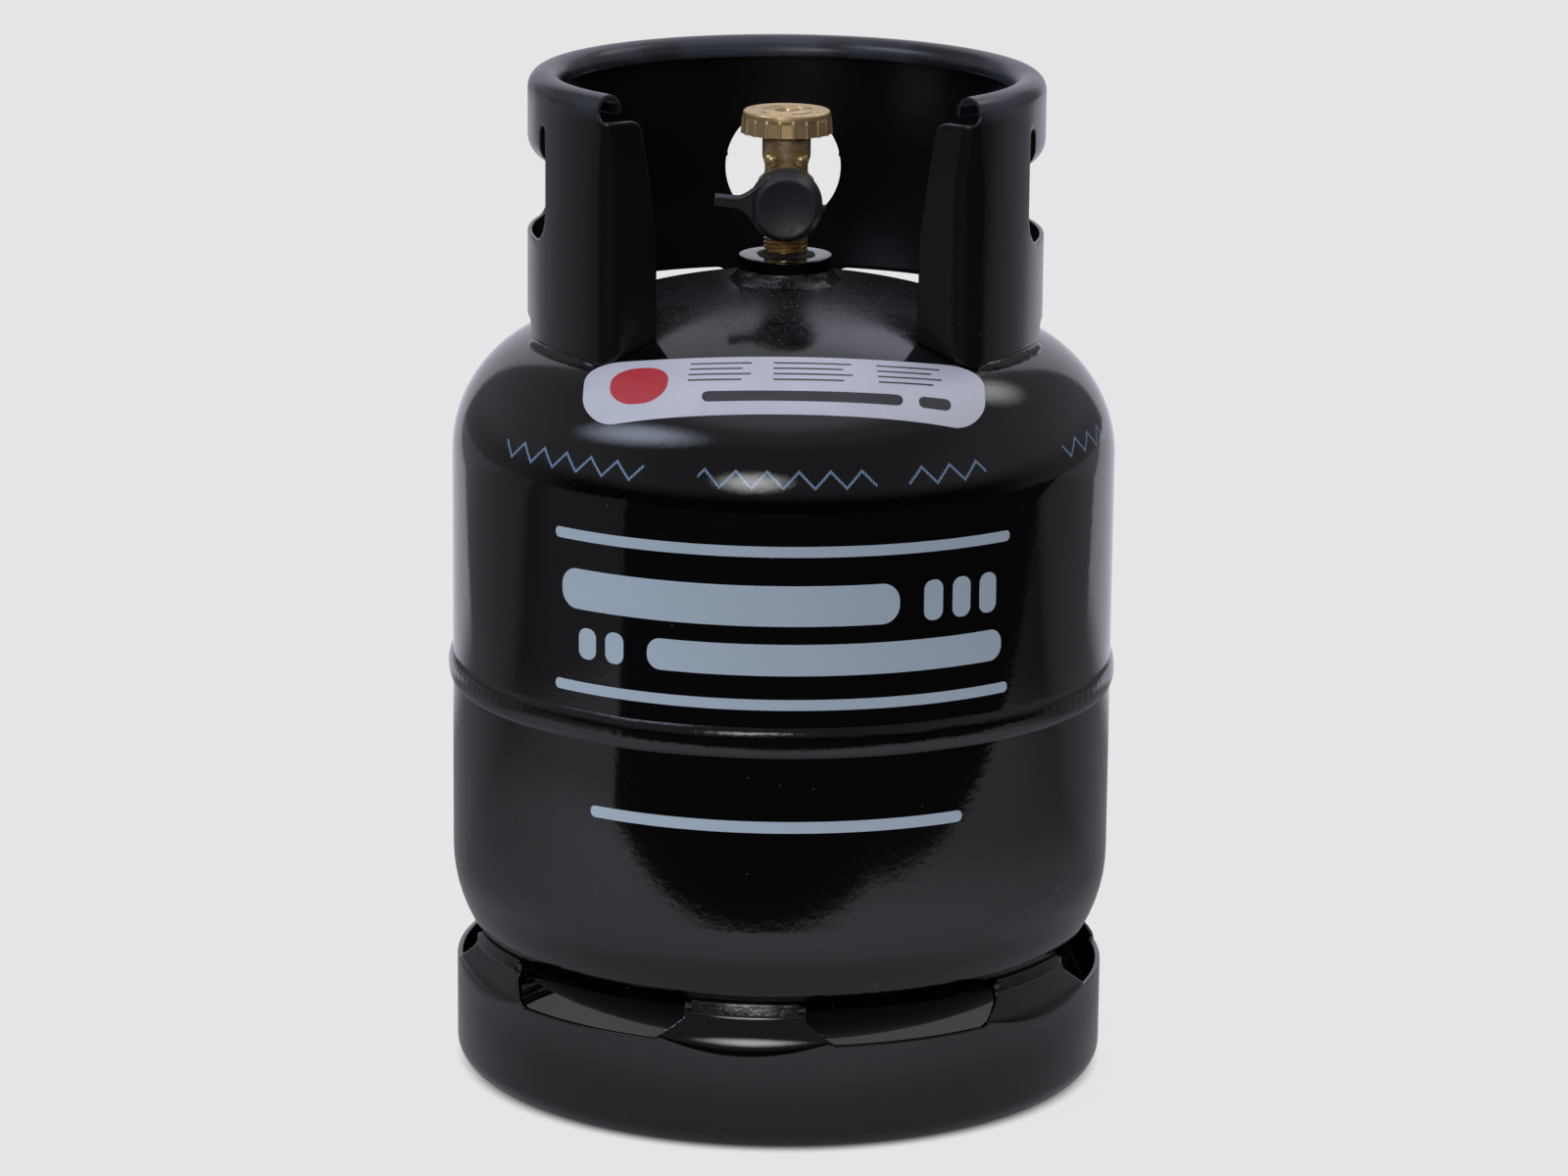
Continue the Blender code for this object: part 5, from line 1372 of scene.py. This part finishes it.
def coiled(bm, pitch, turns, steps, hand=1.0):
    """Carry the one face of a bmesh up a helix of so many steps a turn."""
    bmesh.ops.spin(
        bm, geom=bm.faces[:], cent=(0, 0, 0), axis=UPRIGHT, dvec=(0, 0, pitch / steps),
        angle=hand * 2 * math.pi * turns, steps=steps * turns)
    bmesh.ops.recalc_face_normals(bm, faces=bm.faces)
    return bm


def thread(crest, start, turns, hand=1.0):
    """Helical ridge up to the radius of its crest, closed at both ends."""
    bm = bmesh.new()
    foot, side, top = crest - THREAD_DEPTH - 0.3 * MM, 0.46 * THREAD_PITCH, 0.12 * THREAD_PITCH
    corners = [(foot, start - side), (crest, start - top), (crest, start + top), (foot, start + side)]
    bm.faces.new([bm.verts.new((radius, 0.0, height)) for radius, height in corners])
    return coiled(bm, THREAD_PITCH, turns, 48, hand)


stem_thread = thread(STEM_RADIUS, BOSS_TOP - 1.0 * MM, 5)
outlet_thread = moved(thread(OUTLET_RADIUS, 16.0 * MM, 8, -1.0), ON_OUTLET)
add_piece("stem_thread", stem_thread, TURNED_BRASS, sharp=30.0)
add_piece("outlet_thread", outlet_thread, TURNED_BRASS, sharp=30.0)

# %% [markdown]
# Where the stem enters the boss, the sealing compound has been squeezed out into a flat, ragged
# collar. A flat disc is spun in rings and its outer points are drawn in and out by noise.

# %% Sealant ring
def sealant_ring():
    section = ((-1.5, 1.6), (0.4, 1.3), (1.6, 0.75), (2.6, 0.5), (3.2, 0.05), (-1.5, 0.05))
    bm = turned([(STEM_RADIUS + out * MM, BOSS_TOP + rise * MM) for out, rise in section], 140)
    for vert in bm.verts:
        free = clamped((vert.co.xy.length - STEM_RADIUS) / (3.2 * MM))
        way = vert.co.xy.to_3d().normalized()
        push = 1.7 * MM * noise.noise(way * 2.6) + 0.8 * MM * noise.noise(way * 9.0)
        vert.co.xy += way.xy * push * free
        vert.co.z += 0.25 * MM * noise.noise(vert.co * 700.0) * (vert.co.z > BOSS_TOP + 0.3 * MM)
    return bm


add_piece("sealant_ring", sealant_ring(), THREAD_SEALANT, sharp=60.0)

# %% [markdown]
# ## Bonnet and pins
# The bonnet closes the cup and two pins with domed heads keep it there. Each pin is turned upright
# and then laid over, so that its shank points at the axis.

# %% Bonnet and pin heads
PIN_HEIGHT = BOSS_TOP + 44.6 * MM
PIN_TURN = math.radians(36.3)
PIN_HEAD = 3.6 * MM
PIN_PROUD = 3.6 * MM
PIN_SHANK = 4.0 * MM
PIN_SHANK_RADIUS = 1.5 * MM
PIN_GAP = 0.2 * MM
SPINDLE_HOLE = 3.3 * MM
BONNET_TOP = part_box("bonnet")[1].z
BONNET_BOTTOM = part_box("bonnet")[0].z


def bonnet():
    edge = CUP_BORE - CLEAR
    corners = [(SPINDLE_HOLE, BONNET_TOP), (edge, BONNET_TOP), (edge, BONNET_BOTTOM),
               (SPINDLE_HOLE, BONNET_BOTTOM)]
    return turned(rounded(corners, [0.4 * MM, 0.5 * MM, 0.3 * MM, 0.3 * MM]), 64)


def domed(radius, base, rise, steps):
    """Outline of a dome from its edge nearly to its top, and the top itself."""
    curve = arc((0.0, 0.0), 1.0, 0.0, 90.0, steps)[:-1]
    return [(radius * x, base + rise * y) for x, y in curve] + [(0.0, base + rise)]


def pin(side):
    shank = [(0, -PIN_SHANK), (PIN_SHANK_RADIUS, -PIN_SHANK), (PIN_SHANK_RADIUS, -PIN_GAP),
             (PIN_HEAD - 0.4 * MM, -PIN_GAP)]
    head = turned(shank + domed(PIN_HEAD, 0.0, PIN_PROUD, 15), 40)
    lay = Matrix.Rotation(side * PIN_TURN, 4, "Z") @ Matrix.Rotation(math.pi / 2, 4, "X")
    out = Matrix.Translation((0, 0, CUP_RADIUS + PIN_GAP))
    return moved(head, Matrix.Translation((0, 0, PIN_HEIGHT)) @ lay @ out)


add_piece("bonnet_skin", bonnet(), TURNED_BRASS, ["bonnet"])
for side, way in (("left", -1), ("right", 1)):
    add_piece("pin_" + side, pin(way), PIN_BRASS, ["bonnet_pin_" + side])

# %% [markdown]
# ## The handwheel
# A cast wheel with twenty narrow ribs for wet fingers, flat panels between them, a rounded top
# edge and a recess for its screw. It could be spun in twenty wedges, but spinning one fine outline
# and then pressing the ribs out of it keeps the mesh closed.

# %% Handwheel
WHEEL_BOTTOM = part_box("handwheel")[0].z
WHEEL_HEIGHT = 10.2 * MM
WHEEL_RADIUS = 20.4 * MM
WHEEL_TOP_RADIUS = 19.7 * MM
WHEEL_SHOULDER = 1.4 * MM
WHEEL_RIBS = 20
RIB_PROUD = 0.5 * MM
RIB_HALF = 0.75 * MM
RIB_TOP = 7.2 * MM
HUB_RADIUS = 7.2 * MM
RECESS_RADIUS = 5.8 * MM
RECESS_FLOOR = 7.4 * MM
WHEEL_HOLE = 3.0 * MM
WHEEL_UNDER = 6.6 * MM
WHEEL_WALL = 2.8 * MM
FACE_RADIUS = 15.2 * MM
FACE_SINK = 0.35 * MM
RIB_FADE = 1.2 * MM


def wheel_outline():
    flank = WHEEL_HEIGHT - WHEEL_SHOULDER
    taper = WHEEL_TOP_RADIUS - WHEEL_RADIUS
    side = [(WHEEL_RADIUS + taper * step / 16, flank * step / 16) for step in range(16)]
    shoulder = arc((WHEEL_TOP_RADIUS - WHEEL_SHOULDER, flank), WHEEL_SHOULDER, 0.0, 90.0, 8)
    face = [(FACE_RADIUS, WHEEL_HEIGHT - FACE_SINK), (RECESS_RADIUS + 1.4 * MM, WHEEL_HEIGHT - FACE_SINK)]
    lip = [(RECESS_RADIUS + 0.9 * MM, WHEEL_HEIGHT), (RECESS_RADIUS + 0.3 * MM, WHEEL_HEIGHT),
           (RECESS_RADIUS, WHEEL_HEIGHT - 0.3 * MM)]
    recess = [(RECESS_RADIUS, RECESS_FLOOR), (0.0, RECESS_FLOOR), (0.0, WHEEL_UNDER),
              (WHEEL_HOLE, WHEEL_UNDER)]
    under_shadow = [(WHEEL_HOLE, 0.0), (HUB_RADIUS, 0.0), (HUB_RADIUS, RECESS_FLOOR),
             (WHEEL_TOP_RADIUS - WHEEL_WALL, RECESS_FLOOR), (WHEEL_RADIUS - WHEEL_WALL, 0.4 * MM),
             (WHEEL_RADIUS - WHEEL_WALL + 0.4 * MM, 0.0)]
    return side + shoulder + face + lip + recess + under_shadow


def handwheel():
    bm = turned(wheel_outline(), 640)
    spacing = 2 * math.pi / WHEEL_RIBS
    for vert in bm.verts:
        radius = vert.co.xy.length
        if radius < WHEEL_TOP_RADIUS - 0.6 * MM:
            continue
        turn = math.atan2(vert.co.y, vert.co.x)
        across = (turn + spacing / 2) % spacing - spacing / 2
        rib = math.sqrt(max(1.0 - (across * WHEEL_RADIUS / RIB_HALF) ** 2, 0.0))
        beside = min(abs(across), spacing / 2)
        panel = WHEEL_RADIUS * (1.0 - math.cos(spacing / 2) / math.cos(spacing / 2 - beside))
        above = clamped((vert.co.z - RIB_TOP + RIB_FADE) / RIB_FADE)
        reach = math.sqrt(1.0 - above ** 2)
        vert.co.xy *= 1.0 + (RIB_PROUD * rib * reach - panel * (1.0 - above ** 2)) / radius
        if vert.co.z < 0.5 * MM:
            vert.co.z -= 0.15 * MM * rib
    return moved(bm, Matrix.Translation((0, 0, WHEEL_BOTTOM)) @ Matrix.Rotation(spacing / 2, 4, "Z"))


add_piece("handwheel_casting", handwheel(), GOLD_PAINT, ["handwheel"], "handwheel", sharp=45.0)

# %% [markdown]
# Four plain raised bars lie on the wheel's face, swept like the weld beads, and a slotted screw
# with a domed head sits in the recess. The slot is a block cut out of the head.

# %% Marks and screw of the handwheel
MARK_MIDDLE = 11.8 * MM
MARK_SPANS = ((-62, -12), (12, 62), (118, 168), (192, 242))
SCREW_RADIUS = 3.6 * MM


def wheel_mark(start, end):
    """A plain raised bar that follows the rim on the wheel's face."""
    face = WHEEL_BOTTOM + WHEEL_HEIGHT - FACE_SINK
    outline = ((-0.9, -0.2), (0.9, -0.2), (0.7, 0.35), (-0.7, 0.35))
    section = [(MARK_MIDDLE + out * MM, face + rise * MM) for out, rise in outline]
    return swept_bead(section, math.radians(start), math.radians(end), 24)


def block(width, depth, height):
    """A plain block of so many millimetres, round the origin."""
    bm = bmesh.new()
    bmesh.ops.create_cube(bm, size=1.0)
    bmesh.ops.scale(bm, verts=bm.verts, vec=(width * MM, depth * MM, height * MM))
    return bm


def wheel_screw():
    seat = WHEEL_BOTTOM + RECESS_FLOOR + 0.05 * MM
    low = seat - 0.2 * MM
    head = [(0.0, low), (SCREW_RADIUS, low)] + domed(SCREW_RADIUS, seat + 0.7 * MM, 1.3 * MM, 10)
    slot = moved(block(9.0, 0.9, 2.0), Matrix.Translation((0, 0, seat + 2.2 * MM)))
    return combine(turned(head, 40), slot, "DIFFERENCE")


for index, (start, end) in enumerate(MARK_SPANS):
    name = "wheel_mark_%d" % (index + 1)
    add_piece(name, wheel_mark(start, end), GOLD_PAINT, (), "handwheel")
add_piece("wheel_screw", wheel_screw(), BRIGHT_STEEL, ["handwheel_screw"], "handwheel")

# %% [markdown]
# ## The outlet cap
# The plastic cap keeps dirt out of the outlet: a stepped cup with a shallow dish in its face and a
# finger wing at one side. The cup is turned like the valve, and bored only when the wing is on.

# %% Cup of the outlet cap
CAP_FRONT = 36.6 * MM
CAP_REAR = 21.6 * MM
CAP_RADIUS = 16.25 * MM
CAP_FACE = 13.5 * MM
CAP_BORE = 11.15 * MM
CAP_FLOOR = 33.6 * MM
DISH_RADIUS = 12.3 * MM
DISH_DEPTH = 1.5 * MM


def cap_cup():
    shares = [step / 16 for step in range(16)]
    dish = [(DISH_RADIUS * share, CAP_FRONT - DISH_DEPTH * (1 - share ** 2)) for share in shares]
    corners = [(DISH_RADIUS, CAP_FRONT), (CAP_FACE, CAP_FRONT), (CAP_RADIUS, CAP_REAR + 6.5 * MM),
               (CAP_RADIUS, CAP_REAR), (0.0, CAP_REAR)]
    radii = [0.0, 0.9 * MM, 1.6 * MM, 0.6 * MM, 0.0]
    return turned(dish + rounded(corners, radii, closed=False), 160)


cup = cap_cup()
print("cap cup:", len(cup.faces), "faces")

# %% [markdown]
# The wing is a lever: its flanks sweep in from a wide root to a blunt tip, and its front is
# hollowed so that only a rim stands. Its outline is drawn flat and extruded, a smaller copy of it
# cuts the hollow, and then wing and cup are joined. An inset would be shorter, but at the narrow
# tip it folds over itself, and the join then fails.

# %% Wing of the outlet cap
WING_REACH = 32.0 * MM
WING_FLARE = 22.0 * MM
WING_TIP = 2.35 * MM
WING_LOW = 24.85 * MM
WING_DEPTH = 8.0 * MM
WING_TURN = math.radians(5.0)
WING_STEPS = 20
WING_RIM = 1.1 * MM
WING_HOLLOW = 1.6 * MM
WING_EASE = 8.0 * MM
NUB_DEPTH = 24.9 * MM
ON_WING = Matrix.Rotation(-WING_TURN, 4, "Z")


def wing_prism(shrink, low, high):
    """The lever's outline, drawn in by a margin and extruded between two depths."""
    root = 0.75 * CAP_FACE
    tip = WING_REACH - shrink
    flank = []
    for step in range(WING_STEPS + 1):
        reach = root + (tip - root) * step / WING_STEPS
        inward = max(WING_FLARE - reach, 0.0)
        flank.append((-reach, WING_TIP - shrink + 1.34 * inward ** 2 / (inward + WING_EASE)))
    bm = bmesh.new()
    outline = flank + [(x, -y) for x, y in reversed(flank)]
    extrude(bm, [bm.faces.new([bm.verts.new((x, y, low)) for x, y in outline])], high - low)
    bmesh.ops.recalc_face_normals(bm, faces=bm.faces)
    return bm


def cap_wing():
    front = WING_LOW + WING_DEPTH
    blank = wing_prism(0.0, WING_LOW, front)
    round_edges(blank, 0.35 * MM, 40.0)
    hollow = wing_prism(WING_RIM, front - WING_HOLLOW, front + MM)
    return moved(combine(blank, hollow, "DIFFERENCE"), ON_WING)


def cap_nub():
    bm = block(3.2, 3.2, 3.4)
    bmesh.ops.bevel(
        bm, geom=bm.edges[:], offset=0.8 * MM, affect="EDGES", segments=3, profile=0.5, material=-1)
    return moved(bm, ON_WING @ Matrix.Translation((CAP_RADIUS, 0, NUB_DEPTH)))


def outlet_cap():
    bm = combine(cup, cap_wing(), "UNION")
    bm = combine(bm, cap_nub(), "UNION")
    bore = stepped([(CAP_BORE, CAP_FLOOR)], CAP_REAR - MM, 160)
    return moved(combine(bm, bore, "DIFFERENCE"), ON_OUTLET)


add_piece(
    "outlet_cap_moulding", outlet_cap(), CAP_PLASTIC, ["outlet_cap"], "outlet_cap",
    sharp=45.0)

# %% [markdown]
# ## The relief valve's cap
# At the back of the valve a screwed cap holds the relief spring, with a vent hole in its middle
# and two small holes for a pin wrench.

# %% Relief cap
VENT_RADIUS = 2.4 * MM
RELIEF_CAP_FLOOR = 24.25 * MM
WRENCH_HOLE = 0.8 * MM
WRENCH_FLOOR = 25.5 * MM
WRENCH_PLACE = 4.6 * MM


def relief_cap():
    edge = RELIEF_BORE - CLEAR
    corners = [(VENT_RADIUS, RELIEF_END), (edge, RELIEF_END), (edge, RELIEF_CAP_FLOOR),
               (VENT_RADIUS, RELIEF_CAP_FLOOR)]
    bm = turned(rounded(corners, [0.3 * MM, 0.4 * MM, 0.2 * MM, 0.2 * MM]), 64)
    for side in (-1, 1):
        drill = stepped([(WRENCH_HOLE, RELIEF_END + MM)], WRENCH_FLOOR, 24)
        moved(drill, Matrix.Translation((side * WRENCH_PLACE, 0, 0)))
        bm = combine(bm, drill, "DIFFERENCE")
    return moved(bm, ON_RELIEF)


add_piece("relief_cap_disc", relief_cap(), TURNED_BRASS, ["relief_cap"])

# %% [markdown]
# ## The relief spring
# The spring holds the relief piston on its seat and gets shorter when the piston lifts. A small
# circle is carried along a helix by the same spin as the threads. The coil here is rigid, so the
# piston would pierce it when it lifts.

# %% Relief spring
SPRING_SEAT = 14.9 * MM
SPRING_LENGTH = 9.0 * MM
SPRING_RADIUS = 4.4 * MM
SPRING_WIRE = 1.0 * MM
SPRING_TURNS = 5


def relief_coil():
    bm = bmesh.new()
    bmesh.ops.create_circle(bm, cap_ends=True, segments=12, radius=SPRING_WIRE / 2)
    start = Matrix.Translation((SPRING_RADIUS, 0, SPRING_SEAT + SPRING_WIRE / 2))
    moved(bm, start @ Matrix.Rotation(math.pi / 2, 4, "X"))
    pitch = (SPRING_LENGTH - SPRING_WIRE) / SPRING_TURNS
    return moved(coiled(bm, pitch, SPRING_TURNS, 32), ON_RELIEF)


coil = add_piece("relief_coil", relief_coil(), BRIGHT_STEEL, ["relief_spring"], sharp=60.0)
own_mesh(coil)

# %% [markdown]
# ## The sticker on the shoulder
# A silver sticker lies across the front of the shoulder, bent like a rainbow because the dome
# falls away under it. It is cut as a flat plate with round corners and laid on the dome by a
# function: along the sticker becomes an angle round the bottle and up becomes a radius. The flat
# place of each point is kept as an attribute, so the printing can be laid out on the flat sheet.
# The printing is plain: a red spot, heavy bars and rows of thin rules, with nothing to read.

# %% Sticker sheet
STICKER_HALF = 88.0 * MM
STICKER_HEIGHT = 38.0 * MM
STICKER_CORNER = 14.0 * MM
STICKER_SHEET = 0.25 * MM
STICKER_LOW_SWEEP = math.radians(38.0)
STICKER_TOP_SWEEP = math.radians(48.0)
STICKER_TOP_RADIUS = 96.4 * MM
STICKER_LOW_RADIUS = 131.0 * MM
STICKER_TOP_FALL = 19.0 * MM
STICKER_LOW_FALL = 10.2 * MM


def sticker_point(along, up, through):
    share = along / STICKER_HALF
    high = up / STICKER_HEIGHT
    turn = share * (STICKER_LOW_SWEEP + (STICKER_TOP_SWEEP - STICKER_LOW_SWEEP) * high)
    top = STICKER_TOP_RADIUS + STICKER_TOP_FALL * share ** 2
    low = STICKER_LOW_RADIUS + STICKER_LOW_FALL * share ** 2
    radius = low + (top - low) * high
    step = 0.1 * MM
    slope = (dome_height(radius + step) - dome_height(radius - step)) / (2 * step)
    out = outward(turn)
    facing = (UPRIGHT - out * slope).normalized()
    return out * radius + UPRIGHT * dome_height(radius) + facing * (through + STICKER_SHEET)


def sticker_sheet():
    columns = stations((-STICKER_HALF, 1.5 * MM), (STICKER_HALF, 0.0))
    rows = stations((0.0, 1.5 * MM), (STICKER_HEIGHT, 0.0))
    corners = [(-STICKER_HALF, 0.0), (STICKER_HALF, 0.0), (STICKER_HALF, STICKER_HEIGHT),
               (-STICKER_HALF, STICKER_HEIGHT)]
    keep = bmesh.new()
    add_punch(keep, rounded(corners, [STICKER_CORNER] * 4, 10), MM)
    bm = combine(plate(columns, rows, STICKER_SHEET), keep, "INTERSECT")
    flat = bm.verts.layers.float_vector.new("flat")
    for vert in bm.verts:
        vert[flat] = vert.co
        vert.co = sticker_point(*vert.co)
    bmesh.ops.recalc_face_normals(bm, faces=bm.faces)
    return bm


sticker = sticker_sheet()
print("sticker:", len(sticker.faces), "faces")

# %% [markdown]
# Each printed bar is one use of the bar group, and masks are added up with the larger value. The
# rules come in three blocks of short rows, as on any data plate, but they are only rules.

# %% Sticker printing
STICKER_INK = (0.035, 0.036, 0.042, 1.0)
STICKER_RED = (0.66, 0.055, 0.07, 1.0)
STICKER_SILVER = (0.68, 0.70, 0.77, 1.0)
STICKER_BRIGHT = (0.76, 0.78, 0.84, 1.0)
STICKER_SPOT = (-64.0, 19.5, 12.5, 12.0)
STICKER_PEEL = 0.03 * MM


def bars(tree, point, layout):
    """One mask from a list of bars: centre along, centre up, half length, half height."""
    mask = None
    for along, up, length, height in layout:
        bar = place_group(
            tree, "printed_bar", Point=point, Centre=(along * MM, up * MM, 0),
            Half=(length * MM, height * MM, 0), Corner=0.9 * min(length, height) * MM)
        mask = bar if mask is None else math_node(tree, "MAXIMUM", mask, bar)
    return mask


def sticker_rules():
    """Two heavy bars along the foot of the sticker and three blocks of thin rules above them."""
    rules = [(8.0, 9.5, 44.0, 3.0), (66.0, 9.5, 7.0, 3.0)]
    for middle, width in ((-29.0, 14.0), (13.0, 18.0), (56.0, 14.0)):
        for row in range(4):
            short = 2.0 * (row % 2)
            rules.append((middle - short, 33.0 - 4.2 * row, width - short, 0.6))
    return rules


def sticker_finish():
    material, tree, shader = new_finish("sticker_print")
    point = add_node(tree, "Attribute", {"attribute_name": "flat"}).outputs["Vector"]
    ink = bars(tree, point, sticker_rules())
    red = bars(tree, point, [STICKER_SPOT])
    drift = fade(tree, noise_node(tree, object_place(tree), 30.0, 4.0), 0.3, 0.7)
    paper = mix_colour(tree, drift, STICKER_SILVER, STICKER_BRIGHT)
    colour = mix_colour(tree, ink, mix_colour(tree, red, paper, STICKER_RED), STICKER_INK)
    peel = place_group(tree, "spray_peel", Scale=240.0)
    set_surface(tree, shader, colour, fade(tree, drift, 0.0, 1.0, 0.34, 0.44), peel, STICKER_PEEL)
    return material


add_piece("shoulder_sticker", sticker, sticker_finish(), sharp=50.0)

# %% [markdown]
# ## Printing on the enamel
# The wall carries a pale blue-grey screen print and, on the shoulder, a dotted zigzag from an ink-jet
# head. Both are only colour, so they belong in the shells' material. The wall is unrolled in the
# shader: the angle round the axis times the radius gives a length along the wall, and the height
# is the height. The print here is a plain stripe design made of bars.

# %% Printed enamel
PRINT_INK = (0.56, 0.67, 0.76, 1.0)
JET_INK = (0.26, 0.42, 0.62, 1.0)
JET_MIDDLE = 303.0 * MM
JET_HEIGHT = 7.0 * MM
JET_LINE = 0.75 * MM
JET_DOT = 0.55 * MM
JET_GAP = 0.14 * MM
JET_RUNS = ((-105.0, 42.0), (2.0, 40.0), (76.0, 20.0), (176.0, 28.0))


def add_print(material, layout, dotted=()):
    """Mix printed bars into an enamel's colour and make the ink a little more matt."""
    tree = material.node_tree
    shader = tree.nodes["Principled BSDF"]
    axes = add_node(tree, "SeparateXYZ", Vector=object_place(tree)).outputs
    turn = math_node(tree, "ARCTAN2", axes["X"], math_node(tree, "MULTIPLY", axes["Y"], -1.0))
    along = math_node(tree, "MULTIPLY", turn, BODY_RADIUS)
    point = add_node(tree, "CombineXYZ", X=along, Y=axes["Z"]).outputs[0]
    mask = bars(tree, point, layout)
    colour = mix_colour(tree, mask, shader.inputs["Base Color"].links[0].from_socket, PRINT_INK)
    if dotted:
        zigzag = math_node(tree, "PINGPONG", along, JET_HEIGHT)
        above = math_node(tree, "SUBTRACT", axes["Z"], JET_MIDDLE - JET_HEIGHT / 2)
        away = math_node(tree, "ABSOLUTE", math_node(tree, "SUBTRACT", above, zigzag))
        line = math_node(tree, "LESS_THAN", away, JET_LINE)
        dots = math_node(tree, "GREATER_THAN", math_node(tree, "PINGPONG", along, JET_DOT), JET_GAP)
        jet = math_node(tree, "MULTIPLY", bars(tree, point, dotted), math_node(tree, "MULTIPLY", line, dots))
        colour = mix_colour(tree, jet, colour, JET_INK)
    rough = shader.inputs["Roughness"].links[0].from_socket
    matt = math_node(tree, "ADD", rough, math_node(tree, "MULTIPLY", mask, 0.22))
    tree.links.new(colour, shader.inputs["Base Color"])
    tree.links.new(matt, shader.inputs["Roughness"])


PRINT_MIDDLE = 238.0
PRINT_EDGE = 34.0
PRINT_TOP_ROW = PRINT_MIDDLE + 10.0
PRINT_LOW_ROW = PRINT_MIDDLE - 14.0
upper_print = [(0.0, PRINT_MIDDLE + edge, 108.0, 2.4) for edge in (PRINT_EDGE, -PRINT_EDGE)]
upper_print += [(-26.0, PRINT_TOP_ROW, 78.0, 9.0), (22.0, PRINT_LOW_ROW, 82.0, 7.0)]
upper_print += [(-90.0 + 14.0 * index, PRINT_LOW_ROW, 4.6, 7.0) for index in range(2)]
upper_print += [(68.0 + 14.0 * index, PRINT_TOP_ROW, 4.6, 9.0) for index in range(3)]
jet_rows = [(along, JET_MIDDLE / MM, half, 6.0) for along, half in JET_RUNS]
lower_print = [(-2.0, 149.0, 86.0, 2.6)]
add_print(BOTTLE_ENAMEL, upper_print, jet_rows)
add_print(LOWER_ENAMEL, lower_print)
print("printed bars:", len(upper_print) + len(jet_rows) + len(lower_print))

# %% [markdown]
# ## Pieces that stay as they were packed
# Spindles, seals and the relief valve work inside the closed body. Their solids are already right,
# so they only change their plain colour for a proper finish.

# %% Finishes for the inner pieces
BRASS_NODES = ("spindle", "lower_spindle", "relief_piston")
RUBBER_NODES = ("bonnet_o_ring", "spindle_o_ring", "outlet_seal", "cap_washer", "relief_seal", "seat_disc")
for nodes, finish in ((BRASS_NODES, TURNED_BRASS), (RUBBER_NODES, SEAL_RUBBER)):
    for node in nodes:
        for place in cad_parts[node].material_slots:
            place.material = finish
print("inner pieces:", len(BRASS_NODES) + len(RUBBER_NODES))
